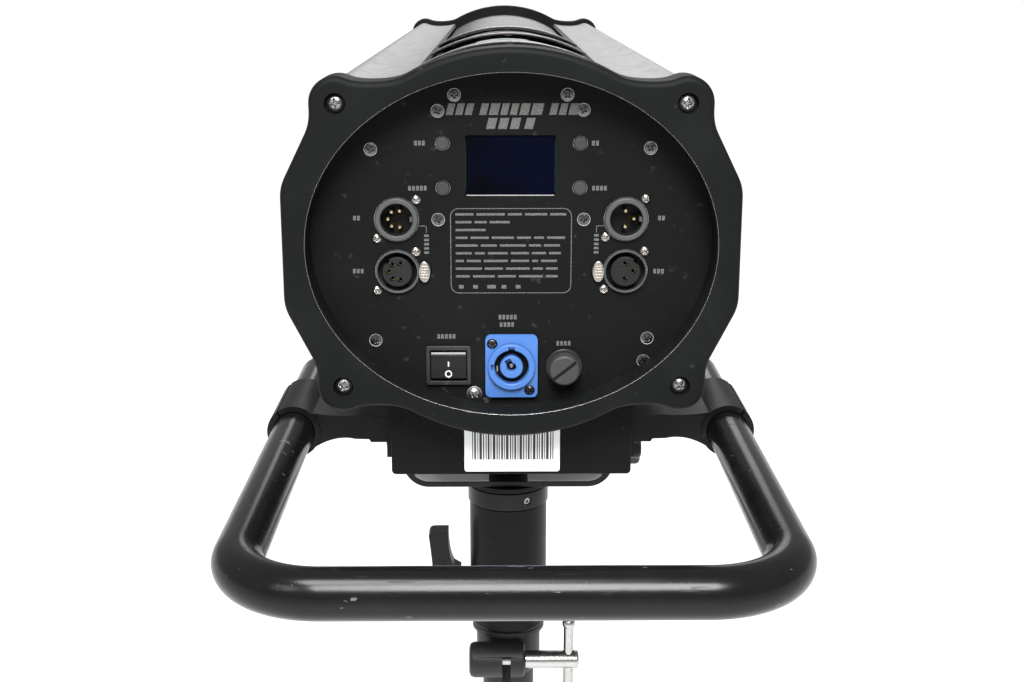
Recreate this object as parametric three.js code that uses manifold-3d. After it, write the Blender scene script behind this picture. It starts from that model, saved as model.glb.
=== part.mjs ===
// Follow spot on its yoke and stand clamp. Millimetres, +Z up, beam towards +Y, operator's side towards -Y.
// The origin is the centre of the clamp socket's lower rim, on the pan axis.
import * as THREE from "three";
import { mergeVertices } from "three/addons/utils/BufferGeometryUtils.js";
import Module from "manifold-3d";

const wasm = await Module();
wasm.setup();

// ---- driving dimensions ----
const GAP = 0.3; // between pieces that touch
const LAMP_Z = 405; // lamp axis above the origin
const TILT_Z = 215; // tilt axis above the origin

// head, measured along the lamp axis from the pan axis
const REAR_Y = -290; // rear face of the rear bezel
const BEZEL_DEPTH = 25;
const FRONT_Y = 575; // front face of the front bezel
const PANEL_RECESS = 18;
const PANEL_THICK = 2.5;
const PANEL_Y = REAR_Y + PANEL_RECESS; // outer face of the rear panel

// outline of both bezels: dome, four screw lobes, straight sides
const HALF_WIDTH = 110;
const DOME_R = 101;
const DOME_TOP = 94.5;
const LOBE_X = 82.4;
const LOBE_Z = 68.6;
const LOBE_R = 12.65;
const SCREW_WELL_R = 5; // well of the screw in each lobe
const OPENING_X = 98.3; // half-axes of the oval opening
const OPENING_Z = 82.4;
const LEDGE = 3; // the panel reaches this far behind the opening's edge

// shell between the bezels
const SHELL_INSET = 4.2;
const SHELL_WALL = 3;
const COVER_WALL = 1.5;
const COVER_HALF = 48.5; // half-width between the side panels' flanges
const COVER_TUCK = 3.5; // how far the top cover reaches under the flanges
const TOP_COVER_R = 92;
const SHELL_REAR = REAR_Y + BEZEL_DEPTH + GAP;
const SHELL_FRONT = FRONT_Y - BEZEL_DEPTH - GAP;
const LIPS = [-172, -61, 49]; // rear lips of the three vent plates
const LIP_R = 98.5; // outer radius of a vent plate at its rear lip
const PLATE_OVERLAP = 12;
const LAST_PLATE_END = 118;

const LENS_RING_R = 72;

// electronics box under the shell
const BASE_HALF = 61.6;
const BASE_BOTTOM = -123;
const BASE_FRONT = 200;
const BASE_WALL = 2;

// handle and its brackets
const TUBE_R = 10.7;
const TUBE_WALL = 1.6;
const HANDLE_X = 114.6;
const HANDLE_Z = -107;
const HANDLE_REAR = -445;
const HANDLE_FRONT = -130;
const HANDLE_BEND = 38;
const COLLAR_R = 14;
const COLLAR_REAR = -243;
const COLLAR_FRONT = -189;

// yoke, spindle and clamp socket
const YOKE_HALF = 73;
const YOKE_THICK = 4;
const YOKE_BOTTOM = 186;
const YOKE_BEND = 18;
const YOKE_DEPTH = 50;
const ARM_R = 20;
const PIVOT_R = 6;
const SPINDLE_R = 16;
const SLEEVE_R = 27.4;
const SLEEVE_BOTTOM = 75;
const RING_BOTTOM = 169;
const RING_TOP = 181.5;
const LEVER_Z = 104;
const SOCKET_BORE_R = 14.3;
const BARREL = { y: -30, z: 57, r: 12.6, left: -28, right: 11.4 };
const BOLT_END = 50;
const TOMMY_X = 42.8;
const TOMMY_R = 3.6;
const TOMMY_BELOW = 40; // ball ends from the bolt's axis
const TOMMY_ABOVE = 28;
const THREAD_R = 8; // of the spindle, inside the yoke and the nut

// panel fittings: centres across the panel and up it
const BUTTONS = {
  button_escape: [-33.2, 48.1],
  button_enter: [-33.2, 26.6],
  button_up: [33.2, 48.1],
  button_down: [33.2, 26.6],
};
const SOCKET_X = 56;
const MALE_Z = 11.2;
const FEMALE_Z = -14.6;
const LATCH_OFFSET = 13.3;
const DISPLAY = { x: -0.5, z: 37.3, w: 43.6, h: 29.4 };
const INLET = { x: 0, z: -62.5, w: 26, h: 32 };
const SWITCH = { x: -31.4, z: -62.3, w: 22.4, h: 20 };
const FUSE = { x: 26.3, z: -63.2 };

// ---- materials ----
const finish = (color, roughness, metalness) =>
  new THREE.MeshStandardMaterial({ color, roughness, metalness });
const blackPaint = finish(0x1c1d1d, 0.55, 0.2);
const blackMoulded = finish(0x242626, 0.7, 0);
const blackSatin = finish(0x141414, 0.35, 0.3);
const panelPaint = finish(0x161817, 0.6, 0.1);
const aluminium = finish(0xb9babb, 0.4, 0.9);
const steel = finish(0x9a9b9c, 0.3, 1);
const plastic = finish(0x101010, 0.5, 0);
const bluePlastic = finish(0x3f7fcf, 0.45, 0);
const greyPlastic = finish(0x4a4b4c, 0.5, 0);
const glass = finish(0x0a0f26, 0.05, 0);
const clearGlass = finish(0xdfe8ee, 0.02, 0);
const circuit = finish(0x1d5a34, 0.6, 0);

// ---- solids ----
// sides of a large, a middle and a small round
const LARGE_ROUND = 28;
const ROUND = 20;
const SMALL_ROUND = 12;

// A closed geometry as a manifold solid with its faces pointing out.
function solid(geometry) {
  const flat = geometry.index ? geometry.toNonIndexed() : geometry;
  const bare = new THREE.BufferGeometry();
  bare.setAttribute("position", flat.getAttribute("position"));
  const merged = mergeVertices(bare, 1e-4);
  const index = merged.index.array;
  const faces = [];
  for (let i = 0; i < index.length; i += 3) {
    const [a, b, c] = [index[i], index[i + 1], index[i + 2]];
    if (a !== b && b !== c && a !== c) faces.push([a, b, c]);
  }
  const build = (list) =>
    new wasm.Manifold(
      new wasm.Mesh({
        numProp: 3,
        vertProperties: new Float32Array(merged.attributes.position.array),
        triVerts: new Uint32Array(list.flat()),
      }),
    );
  const made = build(faces);
  return made.volume() < 0 ? build(faces.map(([a, b, c]) => [a, c, b])) : made;
}

function join(first, ...others) {
  return others.reduce((all, next) => all.add(next), first);
}

function cut(first, ...tools) {
  return tools.reduce((left, tool) => left.subtract(tool), first);
}

function mesh(name, made, material) {
  const data = made.getMesh();
  const geometry = new THREE.BufferGeometry();
  geometry.setAttribute(
    "position",
    new THREE.BufferAttribute(new Float32Array(data.vertProperties), 3),
  );
  geometry.setIndex(new THREE.BufferAttribute(new Uint32Array(data.triVerts), 1));
  geometry.computeVertexNormals();
  const piece = new THREE.Mesh(geometry, material);
  piece.name = name;
  return piece;
}

// Box between two corners.
function block(x0, x1, y0, y1, z0, z1) {
  const geometry = new THREE.BoxGeometry(x1 - x0, y1 - y0, z1 - z0);
  geometry.translate((x0 + x1) / 2, (y0 + y1) / 2, (z0 + z1) / 2);
  return solid(geometry);
}

// Shape drawn across X and up Z, extruded along Y.
function alongY(shape, y0, y1, curveSegments = 12) {
  const geometry = new THREE.ExtrudeGeometry(shape, {
    depth: y1 - y0,
    bevelEnabled: false,
    curveSegments,
  });
  geometry.rotateX(Math.PI / 2);
  geometry.translate(0, y1, 0);
  return solid(geometry);
}

// Shape drawn along Y and up Z, extruded along X.
function alongX(shape, x0, x1, curveSegments = 12) {
  const geometry = new THREE.ExtrudeGeometry(shape, {
    depth: x1 - x0,
    bevelEnabled: false,
    curveSegments,
  });
  geometry.rotateX(Math.PI / 2);
  geometry.rotateZ(Math.PI / 2);
  geometry.translate(x0, 0, 0);
  return solid(geometry);
}

// Turned profile of [radius, height] points about the Z axis, closed on the axis or on itself.
function turned(profile, segments = ROUND) {
  const points = profile.map(([r, z]) => new THREE.Vector2(r, z));
  const geometry = new THREE.LatheGeometry(points, segments);
  geometry.rotateX(Math.PI / 2);
  return geometry;
}

// The same about the Y axis through (x, z), heights along Y.
function turnedY(profile, x = 0, z = 0, segments = ROUND) {
  const geometry = turned(profile, segments);
  geometry.rotateX(-Math.PI / 2);
  geometry.translate(x, 0, z);
  return solid(geometry);
}

// The same about the X axis through (y, z), heights along X.
function turnedX(profile, y = 0, z = 0, segments = ROUND) {
  const geometry = turned(profile, segments);
  geometry.rotateY(Math.PI / 2);
  geometry.translate(0, y, z);
  return solid(geometry);
}

function rodProfile(r, from, to) {
  return [[0, from], [r, from], [r, to], [0, to]];
}

function ringProfile(inner, outer, from, to) {
  return [[inner, from], [outer, from], [outer, to], [inner, to], [inner, from]];
}

// Round bars along each axis, between two heights on that axis.
function rodX(r, x0, x1, y, z, segments = SMALL_ROUND) {
  return turnedX(rodProfile(r, x0, x1), y, z, segments);
}

function rodY(r, y0, y1, x, z, segments = SMALL_ROUND) {
  return turnedY(rodProfile(r, y0, y1), x, z, segments);
}

function rodZ(r, z0, z1, x = 0, y = 0, segments = SMALL_ROUND) {
  const geometry = turned(rodProfile(r, z0, z1), segments);
  geometry.translate(x, y, 0);
  return solid(geometry);
}

function ovalShape(a, b, segments = 48) {
  const points = [];
  for (let i = 0; i < segments; i++) {
    const turn = (2 * Math.PI * i) / segments;
    points.push(new THREE.Vector2(a * Math.cos(turn), b * Math.sin(turn)));
  }
  return new THREE.Shape(points);
}

function roundedShape(x, z, w, h, r) {
  const shape = new THREE.Shape();
  const [l, t] = [w / 2 - r, h / 2 - r];
  shape.absarc(x + l, z - t, r, -Math.PI / 2, 0);
  shape.absarc(x + l, z + t, r, 0, Math.PI / 2);
  shape.absarc(x - l, z + t, r, Math.PI / 2, Math.PI);
  shape.absarc(x - l, z - t, r, Math.PI, 1.5 * Math.PI);
  return shape;
}

// ---- the bezels' outline ----
// One quarter, from the side at z = 0 up over the lobe to the top of the dome at x = 0.
function quarterOutline() {
  const path = new THREE.Path();
  path.moveTo(HALF_WIDTH, 0);
  path.lineTo(HALF_WIDTH, 24);
  path.quadraticCurveTo(HALF_WIDTH, 29, HALF_WIDTH - 2.2, 33.5);
  path.lineTo(97.2, 54.6);
  path.quadraticCurveTo(94.6, 59.8, LOBE_X + LOBE_R, LOBE_Z - 1.6);
  path.absarc(LOBE_X, LOBE_Z, LOBE_R, 0, THREE.MathUtils.degToRad(115));
  const valleyEnd = 50;
  const domeCentre = DOME_TOP - DOME_R;
  const start = Math.acos(valleyEnd / DOME_R);
  path.bezierCurveTo(71.6, 77.5, 55.2, 78.3, valleyEnd, domeCentre + DOME_R * Math.sin(start));
  path.absarc(0, domeCentre, DOME_R, start, Math.PI / 2);
  return path.getPoints(4);
}

// The whole outline, moved inwards by inset along its own normals, counter-clockwise from +X.
function outline(inset) {
  const quarter = quarterOutline();
  const around = [];
  const mirrored = [...quarter].reverse();
  for (const p of quarter) around.push([p.x, p.y]);
  for (const p of mirrored) around.push([-p.x, p.y]);
  for (const p of quarter) around.push([-p.x, -p.y]);
  for (const p of mirrored) around.push([p.x, -p.y]);
  const apart = (p, q) => Math.hypot(p[0] - q[0], p[1] - q[1]) > 0.05;
  const loop = around.filter((p, i) => apart(p, around[(i + 1) % around.length]));
  return loop.map(([x, z], i) => {
    const [xa, za] = loop[(i + loop.length - 1) % loop.length];
    const [xb, zb] = loop[(i + 1) % loop.length];
    const length = Math.hypot(xb - xa, zb - za);
    return new THREE.Vector2(x - ((zb - za) / length) * inset, z + ((xb - xa) / length) * inset);
  });
}

const outlineSolid = (inset, y0, y1) => alongY(new THREE.Shape(outline(inset)), y0, y1);

// ---- stand adapter: clamp socket, sleeve and ring ----
function standSocket() {
  const profile = [
    [SOCKET_BORE_R, 0], [18.5, 0], [18.5, 38], [23, 43], [23, 70], [26, 70],
    [26, SLEEVE_BOTTOM - GAP], [0, SLEEVE_BOTTOM - GAP], [0, 66], [SOCKET_BORE_R, 66],
    [SOCKET_BORE_R, 0],
  ];
  const { y, z, r, left, right } = BARREL;
  const barrel = cut(rodX(r, left, right, y, z, ROUND), rodZ(20, 40, 70));
  const slit = block(-4.5, 1.5, -50, -8, -1, 64);
  return cut(join(solid(turned(profile, LARGE_ROUND)), barrel), slit, rodX(4.3, left - 1, right + 1, y, z));
}

function clampBolt() {
  const { y, z, right } = BARREL;
  return cut(
    join(rodX(4, -26, right + 2, y, z), rodX(6.35, right + GAP, BOLT_END, y, z, ROUND)),
    rodZ(TOMMY_R + GAP, z - 20, z + 20, TOMMY_X, y),
  );
}

function tommyBar() {
  const { y, z } = BARREL;
  const ball = (at) => {
    const geometry = new THREE.SphereGeometry(4.6, 12, 6);
    geometry.translate(TOMMY_X, y, at);
    return solid(geometry);
  };
  const [low, high] = [z - TOMMY_BELOW, z + TOMMY_ABOVE];
  return join(rodZ(TOMMY_R, low, high, TOMMY_X, y), ball(low), ball(high));
}

function swivelSleeve() {
  const bore = SPINDLE_R + GAP;
  return solid(turned([
    [bore, SLEEVE_BOTTOM], [SLEEVE_R - 1.2, SLEEVE_BOTTOM], [SLEEVE_R, SLEEVE_BOTTOM + 3],
    [SLEEVE_R, RING_BOTTOM - GAP], [bore, RING_BOTTOM - GAP], [bore, SLEEVE_BOTTOM],
  ], LARGE_ROUND));
}

function sleeveRing() {
  const bore = SPINDLE_R + GAP;
  return solid(turned([
    [bore, RING_BOTTOM], [27.7, RING_BOTTOM], [28.5, RING_BOTTOM + 0.8],
    [28.5, RING_TOP - 0.8], [27.7, RING_TOP], [bore, RING_TOP], [bore, RING_BOTTOM],
  ], LARGE_ROUND));
}

// The lever's hub screws into the sleeve from the left, and its arm stands up and outwards.
function panLockLever() {
  const arm = new THREE.Shape();
  arm.moveTo(-36, LEVER_Z - 7);
  arm.lineTo(-52, LEVER_Z - 5);
  arm.lineTo(-54.5, LEVER_Z + 14);
  arm.quadraticCurveTo(-55.6, LEVER_Z + 28, -57, LEVER_Z + 38);
  arm.quadraticCurveTo(-56.4, LEVER_Z + 41, -52.5, LEVER_Z + 41);
  arm.lineTo(-43, LEVER_Z + 41);
  arm.quadraticCurveTo(-43, LEVER_Z + 22, -39, LEVER_Z + 15);
  arm.lineTo(-34, LEVER_Z + 12);
  return join(rodX(11, -44, -SLEEVE_R - 1, 0, LEVER_Z), alongY(arm, -7, 7, 5));
}

// ---- yoke ----
function panSpindle() {
  return solid(turned([
    [0, 80], [SPINDLE_R - 1, 80], [SPINDLE_R, 82], [SPINDLE_R, RING_TOP + GAP],
    [28, RING_TOP + GAP], [29, RING_TOP + 1.4], [29, YOKE_BOTTOM - GAP],
    [THREAD_R, YOKE_BOTTOM - GAP], [THREAD_R, 202], [THREAD_R - 1, 203], [0, 203],
  ], LARGE_ROUND));
}

// Hexagon by its distance across corners, about a point.
function hexagon(corners, x = 0, y = 0) {
  const points = Array.from({ length: 6 }, (_, i) => {
    const turn = (i * Math.PI) / 3;
    return new THREE.Vector2(x + (corners / 2) * Math.cos(turn), y + (corners / 2) * Math.sin(turn));
  });
  return new THREE.Shape(points);
}

function spindleNut() {
  const geometry = new THREE.ExtrudeGeometry(hexagon(26.4), { depth: 10, bevelEnabled: false });
  geometry.translate(0, 0, YOKE_BOTTOM + YOKE_THICK + GAP);
  return cut(solid(geometry), rodZ(THREAD_R + GAP, 180, 210));
}

// The U of the yoke, drawn across X and up Z.
function yokeBar() {
  const top = TILT_Z + ARM_R + 5;
  const inner = YOKE_HALF - YOKE_THICK;
  const bendIn = YOKE_BEND - YOKE_THICK;
  const low = YOKE_BOTTOM;
  const shape = new THREE.Shape();
  shape.moveTo(-YOKE_HALF, top);
  shape.lineTo(-YOKE_HALF, low + YOKE_BEND);
  shape.absarc(-YOKE_HALF + YOKE_BEND, low + YOKE_BEND, YOKE_BEND, Math.PI, 1.5 * Math.PI);
  shape.absarc(YOKE_HALF - YOKE_BEND, low + YOKE_BEND, YOKE_BEND, 1.5 * Math.PI, 2 * Math.PI);
  shape.lineTo(YOKE_HALF, top);
  shape.lineTo(inner, top);
  shape.absarc(inner - bendIn, low + YOKE_BEND, bendIn, 0, -Math.PI / 2, true);
  shape.absarc(-inner + bendIn, low + YOKE_BEND, bendIn, -Math.PI / 2, -Math.PI, true);
  shape.lineTo(-inner, top);
  return shape;
}

function yokeBracket() {
  const side = new THREE.Shape();
  const half = YOKE_DEPTH / 2;
  side.moveTo(-half, YOKE_BOTTOM - 2);
  side.lineTo(half, YOKE_BOTTOM - 2);
  side.lineTo(half, YOKE_BOTTOM + 15);
  side.absarc(0, TILT_Z, ARM_R, 0, Math.PI);
  side.lineTo(-half, YOKE_BOTTOM + 15);
  return cut(
    alongY(yokeBar(), -half - 1, half + 1, 8).intersect(alongX(side, -80, 80, SMALL_ROUND)),
    rodZ(THREAD_R + GAP, YOKE_BOTTOM - 1, YOKE_BOTTOM + 10),
    rodX(PIVOT_R + GAP, -80, 80, 0, TILT_Z),
  );
}

function tiltPivotBolt() {
  return join(
    rodX(PIVOT_R, -78, -58, 0, TILT_Z),
    rodX(12, -YOKE_HALF - 2, -YOKE_HALF - GAP, 0, TILT_Z),
    alongX(hexagon(21, 0, TILT_Z), -81, -YOKE_HALF - 2),
  );
}

function tiltLockKnob() {
  const lobes = 7;
  const steps = lobes * 6;
  const points = [];
  for (let i = 0; i < steps; i++) {
    const turn = (2 * Math.PI * i) / steps;
    const r = 18.6 + 1.4 * Math.cos(lobes * turn);
    points.push(new THREE.Vector2(r * Math.cos(turn), TILT_Z + r * Math.sin(turn)));
  }
  return join(
    alongX(new THREE.Shape(points), 79, 93),
    rodX(12, YOKE_HALF + GAP, 80, 0, TILT_Z),
    rodX(PIVOT_R, 58, 80, 0, TILT_Z),
  );
}

// ---- head: shell ----
function rearBezel() {
  const opening = alongY(ovalShape(OPENING_X, OPENING_Z), REAR_Y - 1, 0);
  const ledge = ovalShape(OPENING_X + LEDGE + GAP, OPENING_Z + LEDGE + GAP);
  const counterbores = lobeCentres().map(([x, z]) => rodY(SCREW_WELL_R, REAR_Y - 1, REAR_Y + 4, x, z));
  return cut(
    outlineSolid(0, REAR_Y, REAR_Y + BEZEL_DEPTH),
    opening,
    alongY(ledge, PANEL_Y - GAP, 0),
    ...counterbores,
  );
}

function lobeCentres() {
  return [1, -1].flatMap((sx) => [1, -1].map((sz) => [sx * LOBE_X, sz * LOBE_Z]));
}

function frontBezel() {
  const counterbores = lobeCentres().map(([x, z]) => rodY(SCREW_WELL_R, FRONT_Y - 4, FRONT_Y + 1, x, z));
  return cut(
    outlineSolid(0, FRONT_Y - BEZEL_DEPTH, FRONT_Y),
    rodY(LENS_RING_R + GAP, FRONT_Y - BEZEL_DEPTH - 1, FRONT_Y + 1, 0, 0, LARGE_ROUND),
    ...counterbores,
  );
}

// A side of the shell is an open section with a solid screw channel in each lobe.
function sidePanel(side) {
  const wall = cut(
    outlineSolid(SHELL_INSET, SHELL_REAR, SHELL_FRONT),
    outlineSolid(SHELL_INSET + SHELL_WALL, SHELL_REAR - 1, SHELL_FRONT + 1),
  );
  const lobe = (z) => rodY(LOBE_R - SHELL_INSET, SHELL_REAR, SHELL_FRONT, side * LOBE_X, z);
  const half = side > 0 ? [COVER_HALF + GAP, 130] : [-130, -COVER_HALF - GAP];
  const keep = block(...half, SHELL_REAR - 1, SHELL_FRONT + 1, -100, 100);
  return join(wall, lobe(LOBE_Z), lobe(-LOBE_Z)).intersect(keep);
}

// Arc of a cover's section at an outer radius, out from left to right and back along the inside.
function coverSection(outer, half, steps) {
  const centre = DOME_TOP - DOME_R;
  const arc = (r, i) => {
    const x = half * ((2 * i) / steps - 1);
    return [x, centre + Math.sqrt(r * r - x * x)];
  };
  const points = [];
  for (let i = 0; i <= steps; i++) points.push(arc(outer, i));
  for (let i = steps; i >= 0; i--) points.push(arc(outer - COVER_WALL, i));
  return points;
}

// Cover sheet whose outer radius changes evenly from r0 at y0 to r1 at y1.
function coverSheet(y0, r0, y1, r1, half, sign = 1) {
  const steps = 12;
  const rings = [coverSection(r0, half, steps), coverSection(r1, half, steps)];
  const count = rings[0].length;
  const at = (ring, i) => {
    const [x, z] = rings[ring][(i + count) % count];
    return [x, ring ? y1 : y0, sign * z];
  };
  const corners = [];
  const quad = (a, b, c, d) => corners.push(...a, ...b, ...c, ...a, ...c, ...d);
  for (let i = 0; i < count; i++) quad(at(0, i), at(0, i + 1), at(1, i + 1), at(1, i));
  for (let i = 0; i < steps; i++) {
    quad(at(0, i), at(0, count - 1 - i), at(0, count - 2 - i), at(0, i + 1));
    quad(at(1, i), at(1, i + 1), at(1, count - 2 - i), at(1, count - 1 - i));
  }
  const geometry = new THREE.BufferGeometry();
  geometry.setAttribute("position", new THREE.Float32BufferAttribute(corners, 3));
  return solid(geometry);
}

const plateEnd = (i) => (i + 1 < LIPS.length ? LIPS[i + 1] + PLATE_OVERLAP : LAST_PLATE_END);

function ventPlate(i) {
  const frontR = TOP_COVER_R + COVER_WALL + GAP;
  return coverSheet(LIPS[i], LIP_R, plateEnd(i), frontR, COVER_HALF - GAP);
}

// One sheet over the whole length, with a window under each vent plate.
function topCover() {
  const sheet = coverSheet(
    SHELL_REAR, TOP_COVER_R, SHELL_FRONT, TOP_COVER_R, COVER_HALF + COVER_TUCK,
  );
  const windows = LIPS.map((lip, i) => block(-38, 38, lip + 8, plateEnd(i) - 22, 60, 100));
  return cut(sheet, ...windows);
}

function bottomCover() {
  const r = DOME_R - SHELL_INSET;
  return coverSheet(SHELL_REAR, r, SHELL_FRONT, r, COVER_HALF, -1);
}

function baseBox() {
  const rear = SHELL_REAR;
  const outer = block(-BASE_HALF, BASE_HALF, rear, BASE_FRONT, BASE_BOTTOM, -60);
  const inside = block(
    -BASE_HALF + BASE_WALL, BASE_HALF - BASE_WALL, rear + BASE_WALL, BASE_FRONT - BASE_WALL,
    BASE_BOTTOM + BASE_WALL, 0,
  );
  return cut(outer, inside, outlineSolid(SHELL_INSET - GAP, rear - 1, BASE_FRONT + 1));
}

function tiltBracket() {
  const low = TILT_Z - LAMP_Z;
  const top = BASE_BOTTOM - GAP;
  const thick = 4;
  const outer = BASE_HALF + thick;
  const ear = new THREE.Shape();
  ear.moveTo(60, top);
  ear.lineTo(-60, top);
  ear.lineTo(-60, top - 8);
  ear.lineTo(-17, low + 6);
  ear.absarc(0, low, 17, Math.PI, 2 * Math.PI);
  ear.lineTo(17, low + 6);
  ear.lineTo(60, top - 8);
  return cut(
    alongX(ear, -outer, outer, SMALL_ROUND),
    block(-BASE_HALF - GAP, BASE_HALF + GAP, -70, 70, low - 30, top - thick),
    rodX(PIVOT_R + GAP, -80, 80, 0, low),
  );
}

// ---- head: handle and brackets ----
// Bracket at the right: collar, web to the box and a foot against the box's side.
function handleBracket(side) {
  const web = new THREE.Shape();
  web.moveTo(BASE_HALF + 1, -100);
  web.lineTo(BASE_HALF + 1, -113);
  web.lineTo(74, -113);
  web.lineTo(75, -111.4);
  web.lineTo(82, -111.2);
  web.quadraticCurveTo(93, -108.5, 105, -116.5);
  web.lineTo(HANDLE_X, -112);
  web.lineTo(HANDLE_X, -100);
  web.lineTo(104, -97);
  web.quadraticCurveTo(92, -99, 80, -98);
  const collar = rodY(COLLAR_R, COLLAR_REAR, COLLAR_FRONT, HANDLE_X, HANDLE_Z, LARGE_ROUND);
  const foot = block(BASE_HALF + GAP, BASE_HALF + 4, COLLAR_REAR, COLLAR_FRONT, -121, -84);
  const made = cut(
    join(alongY(web, COLLAR_REAR + 1, COLLAR_FRONT - 1, 8), collar, foot),
    rodY(TUBE_R + GAP, COLLAR_REAR - 1, COLLAR_FRONT + 1, HANDLE_X, HANDLE_Z, LARGE_ROUND),
  );
  return side > 0 ? made : made.mirror([1, 0, 0]);
}

// Centre line of the handle, from the left leg's front end round to the right leg's.
function handlePath() {
  const straight = HANDLE_X - HANDLE_BEND;
  const turn = HANDLE_REAR + HANDLE_BEND;
  const bend = (side) =>
    [0, 1, 2, 3, 4, 5, 6].map((i) => {
      const a = (i / 6) * (Math.PI / 2);
      return [side * (straight + HANDLE_BEND * Math.cos(a)), turn - HANDLE_BEND * Math.sin(a)];
    });
  return [
    [-HANDLE_X, HANDLE_FRONT], ...bend(-1), ...bend(1).reverse(), [HANDLE_X, HANDLE_FRONT],
  ];
}

// Round bar along a flat path at one height, closed by its two end faces.
function bar(path, radius, z, segments = SMALL_ROUND) {
  const rings = path.map(([x, y], i) => {
    const [xa, ya] = path[Math.max(i - 1, 0)];
    const [xb, yb] = path[Math.min(i + 1, path.length - 1)];
    const length = Math.hypot(xb - xa, yb - ya);
    const [sx, sy] = [(yb - ya) / length, -(xb - xa) / length];
    return Array.from({ length: segments }, (_, k) => {
      const a = (2 * Math.PI * k) / segments;
      const out = radius * Math.cos(a);
      return [x + sx * out, y + sy * out, z + radius * Math.sin(a)];
    });
  });
  const corners = [];
  const face = (a, b, c) => corners.push(...a, ...b, ...c);
  for (let i = 0; i + 1 < rings.length; i++) {
    for (let k = 0; k < segments; k++) {
      const n = (k + 1) % segments;
      face(rings[i][k], rings[i][n], rings[i + 1][n]);
      face(rings[i][k], rings[i + 1][n], rings[i + 1][k]);
    }
  }
  const last = rings.length - 1;
  for (let k = 1; k + 1 < segments; k++) {
    face(rings[0][0], rings[0][k + 1], rings[0][k]);
    face(rings[last][0], rings[last][k], rings[last][k + 1]);
  }
  const geometry = new THREE.BufferGeometry();
  geometry.setAttribute("position", new THREE.Float32BufferAttribute(corners, 3));
  return solid(geometry);
}

function handleTube() {
  const path = handlePath();
  const longer = path.map(([x, y], i) =>
    i === 0 || i === path.length - 1 ? [x, y + 5] : [x, y],
  );
  return cut(bar(path, TUBE_R, HANDLE_Z), bar(longer, TUBE_R - TUBE_WALL, HANDLE_Z, 8));
}

// ---- head: rear panel and its fittings ----
function rearPanel() {
  const front = PANEL_Y - 1;
  const back = PANEL_Y + PANEL_THICK + 1;
  const plate = alongY(
    ovalShape(OPENING_X + LEDGE, OPENING_Z + LEDGE), PANEL_Y, PANEL_Y + PANEL_THICK,
  );
  const hole = (r, x, z, segments = LARGE_ROUND) => rodY(r, front, back, x, z, segments);
  const window = (s, grow) =>
    alongY(roundedShape(s.x, s.z, s.w + 2 * grow, s.h + 2 * grow, 1), front, back, 3);
  const sockets = [-1, 1].flatMap((side) => [
    hole(10.95, side * SOCKET_X, MALE_Z, ROUND),
    hole(10.95, side * SOCKET_X, FEMALE_Z, ROUND),
    latchSolid(side, 0.4, front, back),
  ]);
  return cut(
    plate,
    window(DISPLAY, 0),
    window(SWITCH, -1),
    hole(12.2, INLET.x, INLET.z, ROUND),
    hole(6.6, FUSE.x, FUSE.z),
    ...Object.values(BUTTONS).map(([x, z]) => hole(3.5, x, z)),
    ...sockets,
  );
}

function displayWindow() {
  const { x, z, w, h } = DISPLAY;
  return alongY(roundedShape(x, z, w - 0.6, h - 0.6, 0.8), PANEL_Y + 0.9, PANEL_Y + 2.9, 3);
}

function button() {
  return join(rodY(3.15, -1.3, 4.4, 0, 0), rodY(4.4, PANEL_THICK + GAP, 4.4, 0, 0));
}

// Oval push tab beside a socket.
function latchSolid(side, grow, y0, y1) {
  const shape = new THREE.Shape();
  const x = side * (SOCKET_X - LATCH_OFFSET);
  shape.absellipse(x, FEMALE_Z, 3.1 + grow, 5.4 + grow, 0, 2 * Math.PI);
  return alongY(shape, y0, y1, 10);
}

// Panel socket: ring through the panel, square flange and body behind it.
function dmxSocket(side, z, mouth, depth) {
  const x = side * SOCKET_X;
  const flangeY = PANEL_Y + PANEL_THICK + GAP;
  const made = cut(
    join(
      rodY(10.65, PANEL_Y - 2.2, flangeY + 1, x, z, ROUND),
      block(x - 12.5, x + 12.5, flangeY, flangeY + 2, z - 12.5, z + 12.5),
      rodY(10, flangeY + 1, flangeY + 18, x, z, ROUND),
    ),
    rodY(mouth, PANEL_Y - 3, PANEL_Y - 2.2 + depth, x, z, ROUND),
  );
  return z === FEMALE_Z ? cut(made, latchSolid(side, 0.5, PANEL_Y - 3, flangeY + 20)) : made;
}

function powerInlet() {
  const { x, z, w, h } = INLET;
  const face = PANEL_Y - GAP;
  const slot = turnedY(ringProfile(5.75, 8.7, face - 6, face + 10), x, z, ROUND);
  return cut(
    join(
      alongY(roundedShape(x, z, w, h, 2.5), face - 2.4, face, 5),
      rodY(11.75, face - 5, face + 20, x, z, LARGE_ROUND),
    ),
    slot,
    block(x - 1.6, x + 1.6, face - 6, face + 4, z + 8, z + 10.4),
    block(x - 10.4, x - 8, face - 6, face + 4, z - 1.6, z + 1.6),
    rodY(2.2, face - 6, face + 6, x, z),
  );
}

function switchFrame() {
  const { x, z, w, h } = SWITCH;
  const face = PANEL_Y - GAP;
  const [halfW, halfH] = [w / 2 - 1.4, h / 2 - 1.4];
  return cut(
    join(
      alongY(roundedShape(x, z, w, h, 1.2), face - 1.6, face, 4),
      block(x - halfW, x + halfW, face - 0.5, face + 18, z - halfH, z + halfH),
    ),
    block(x - 9.2, x + 9.2, face - 3, face + 15, z - 7.9, z + 7.9),
  );
}

// The rocker at rest has its upper half pressed in; it swings about ROCKER_AXIS_Y.
const ROCKER_AXIS_Y = PANEL_Y + 4;
const ROCKER_TILT = THREE.MathUtils.degToRad(7);

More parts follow.
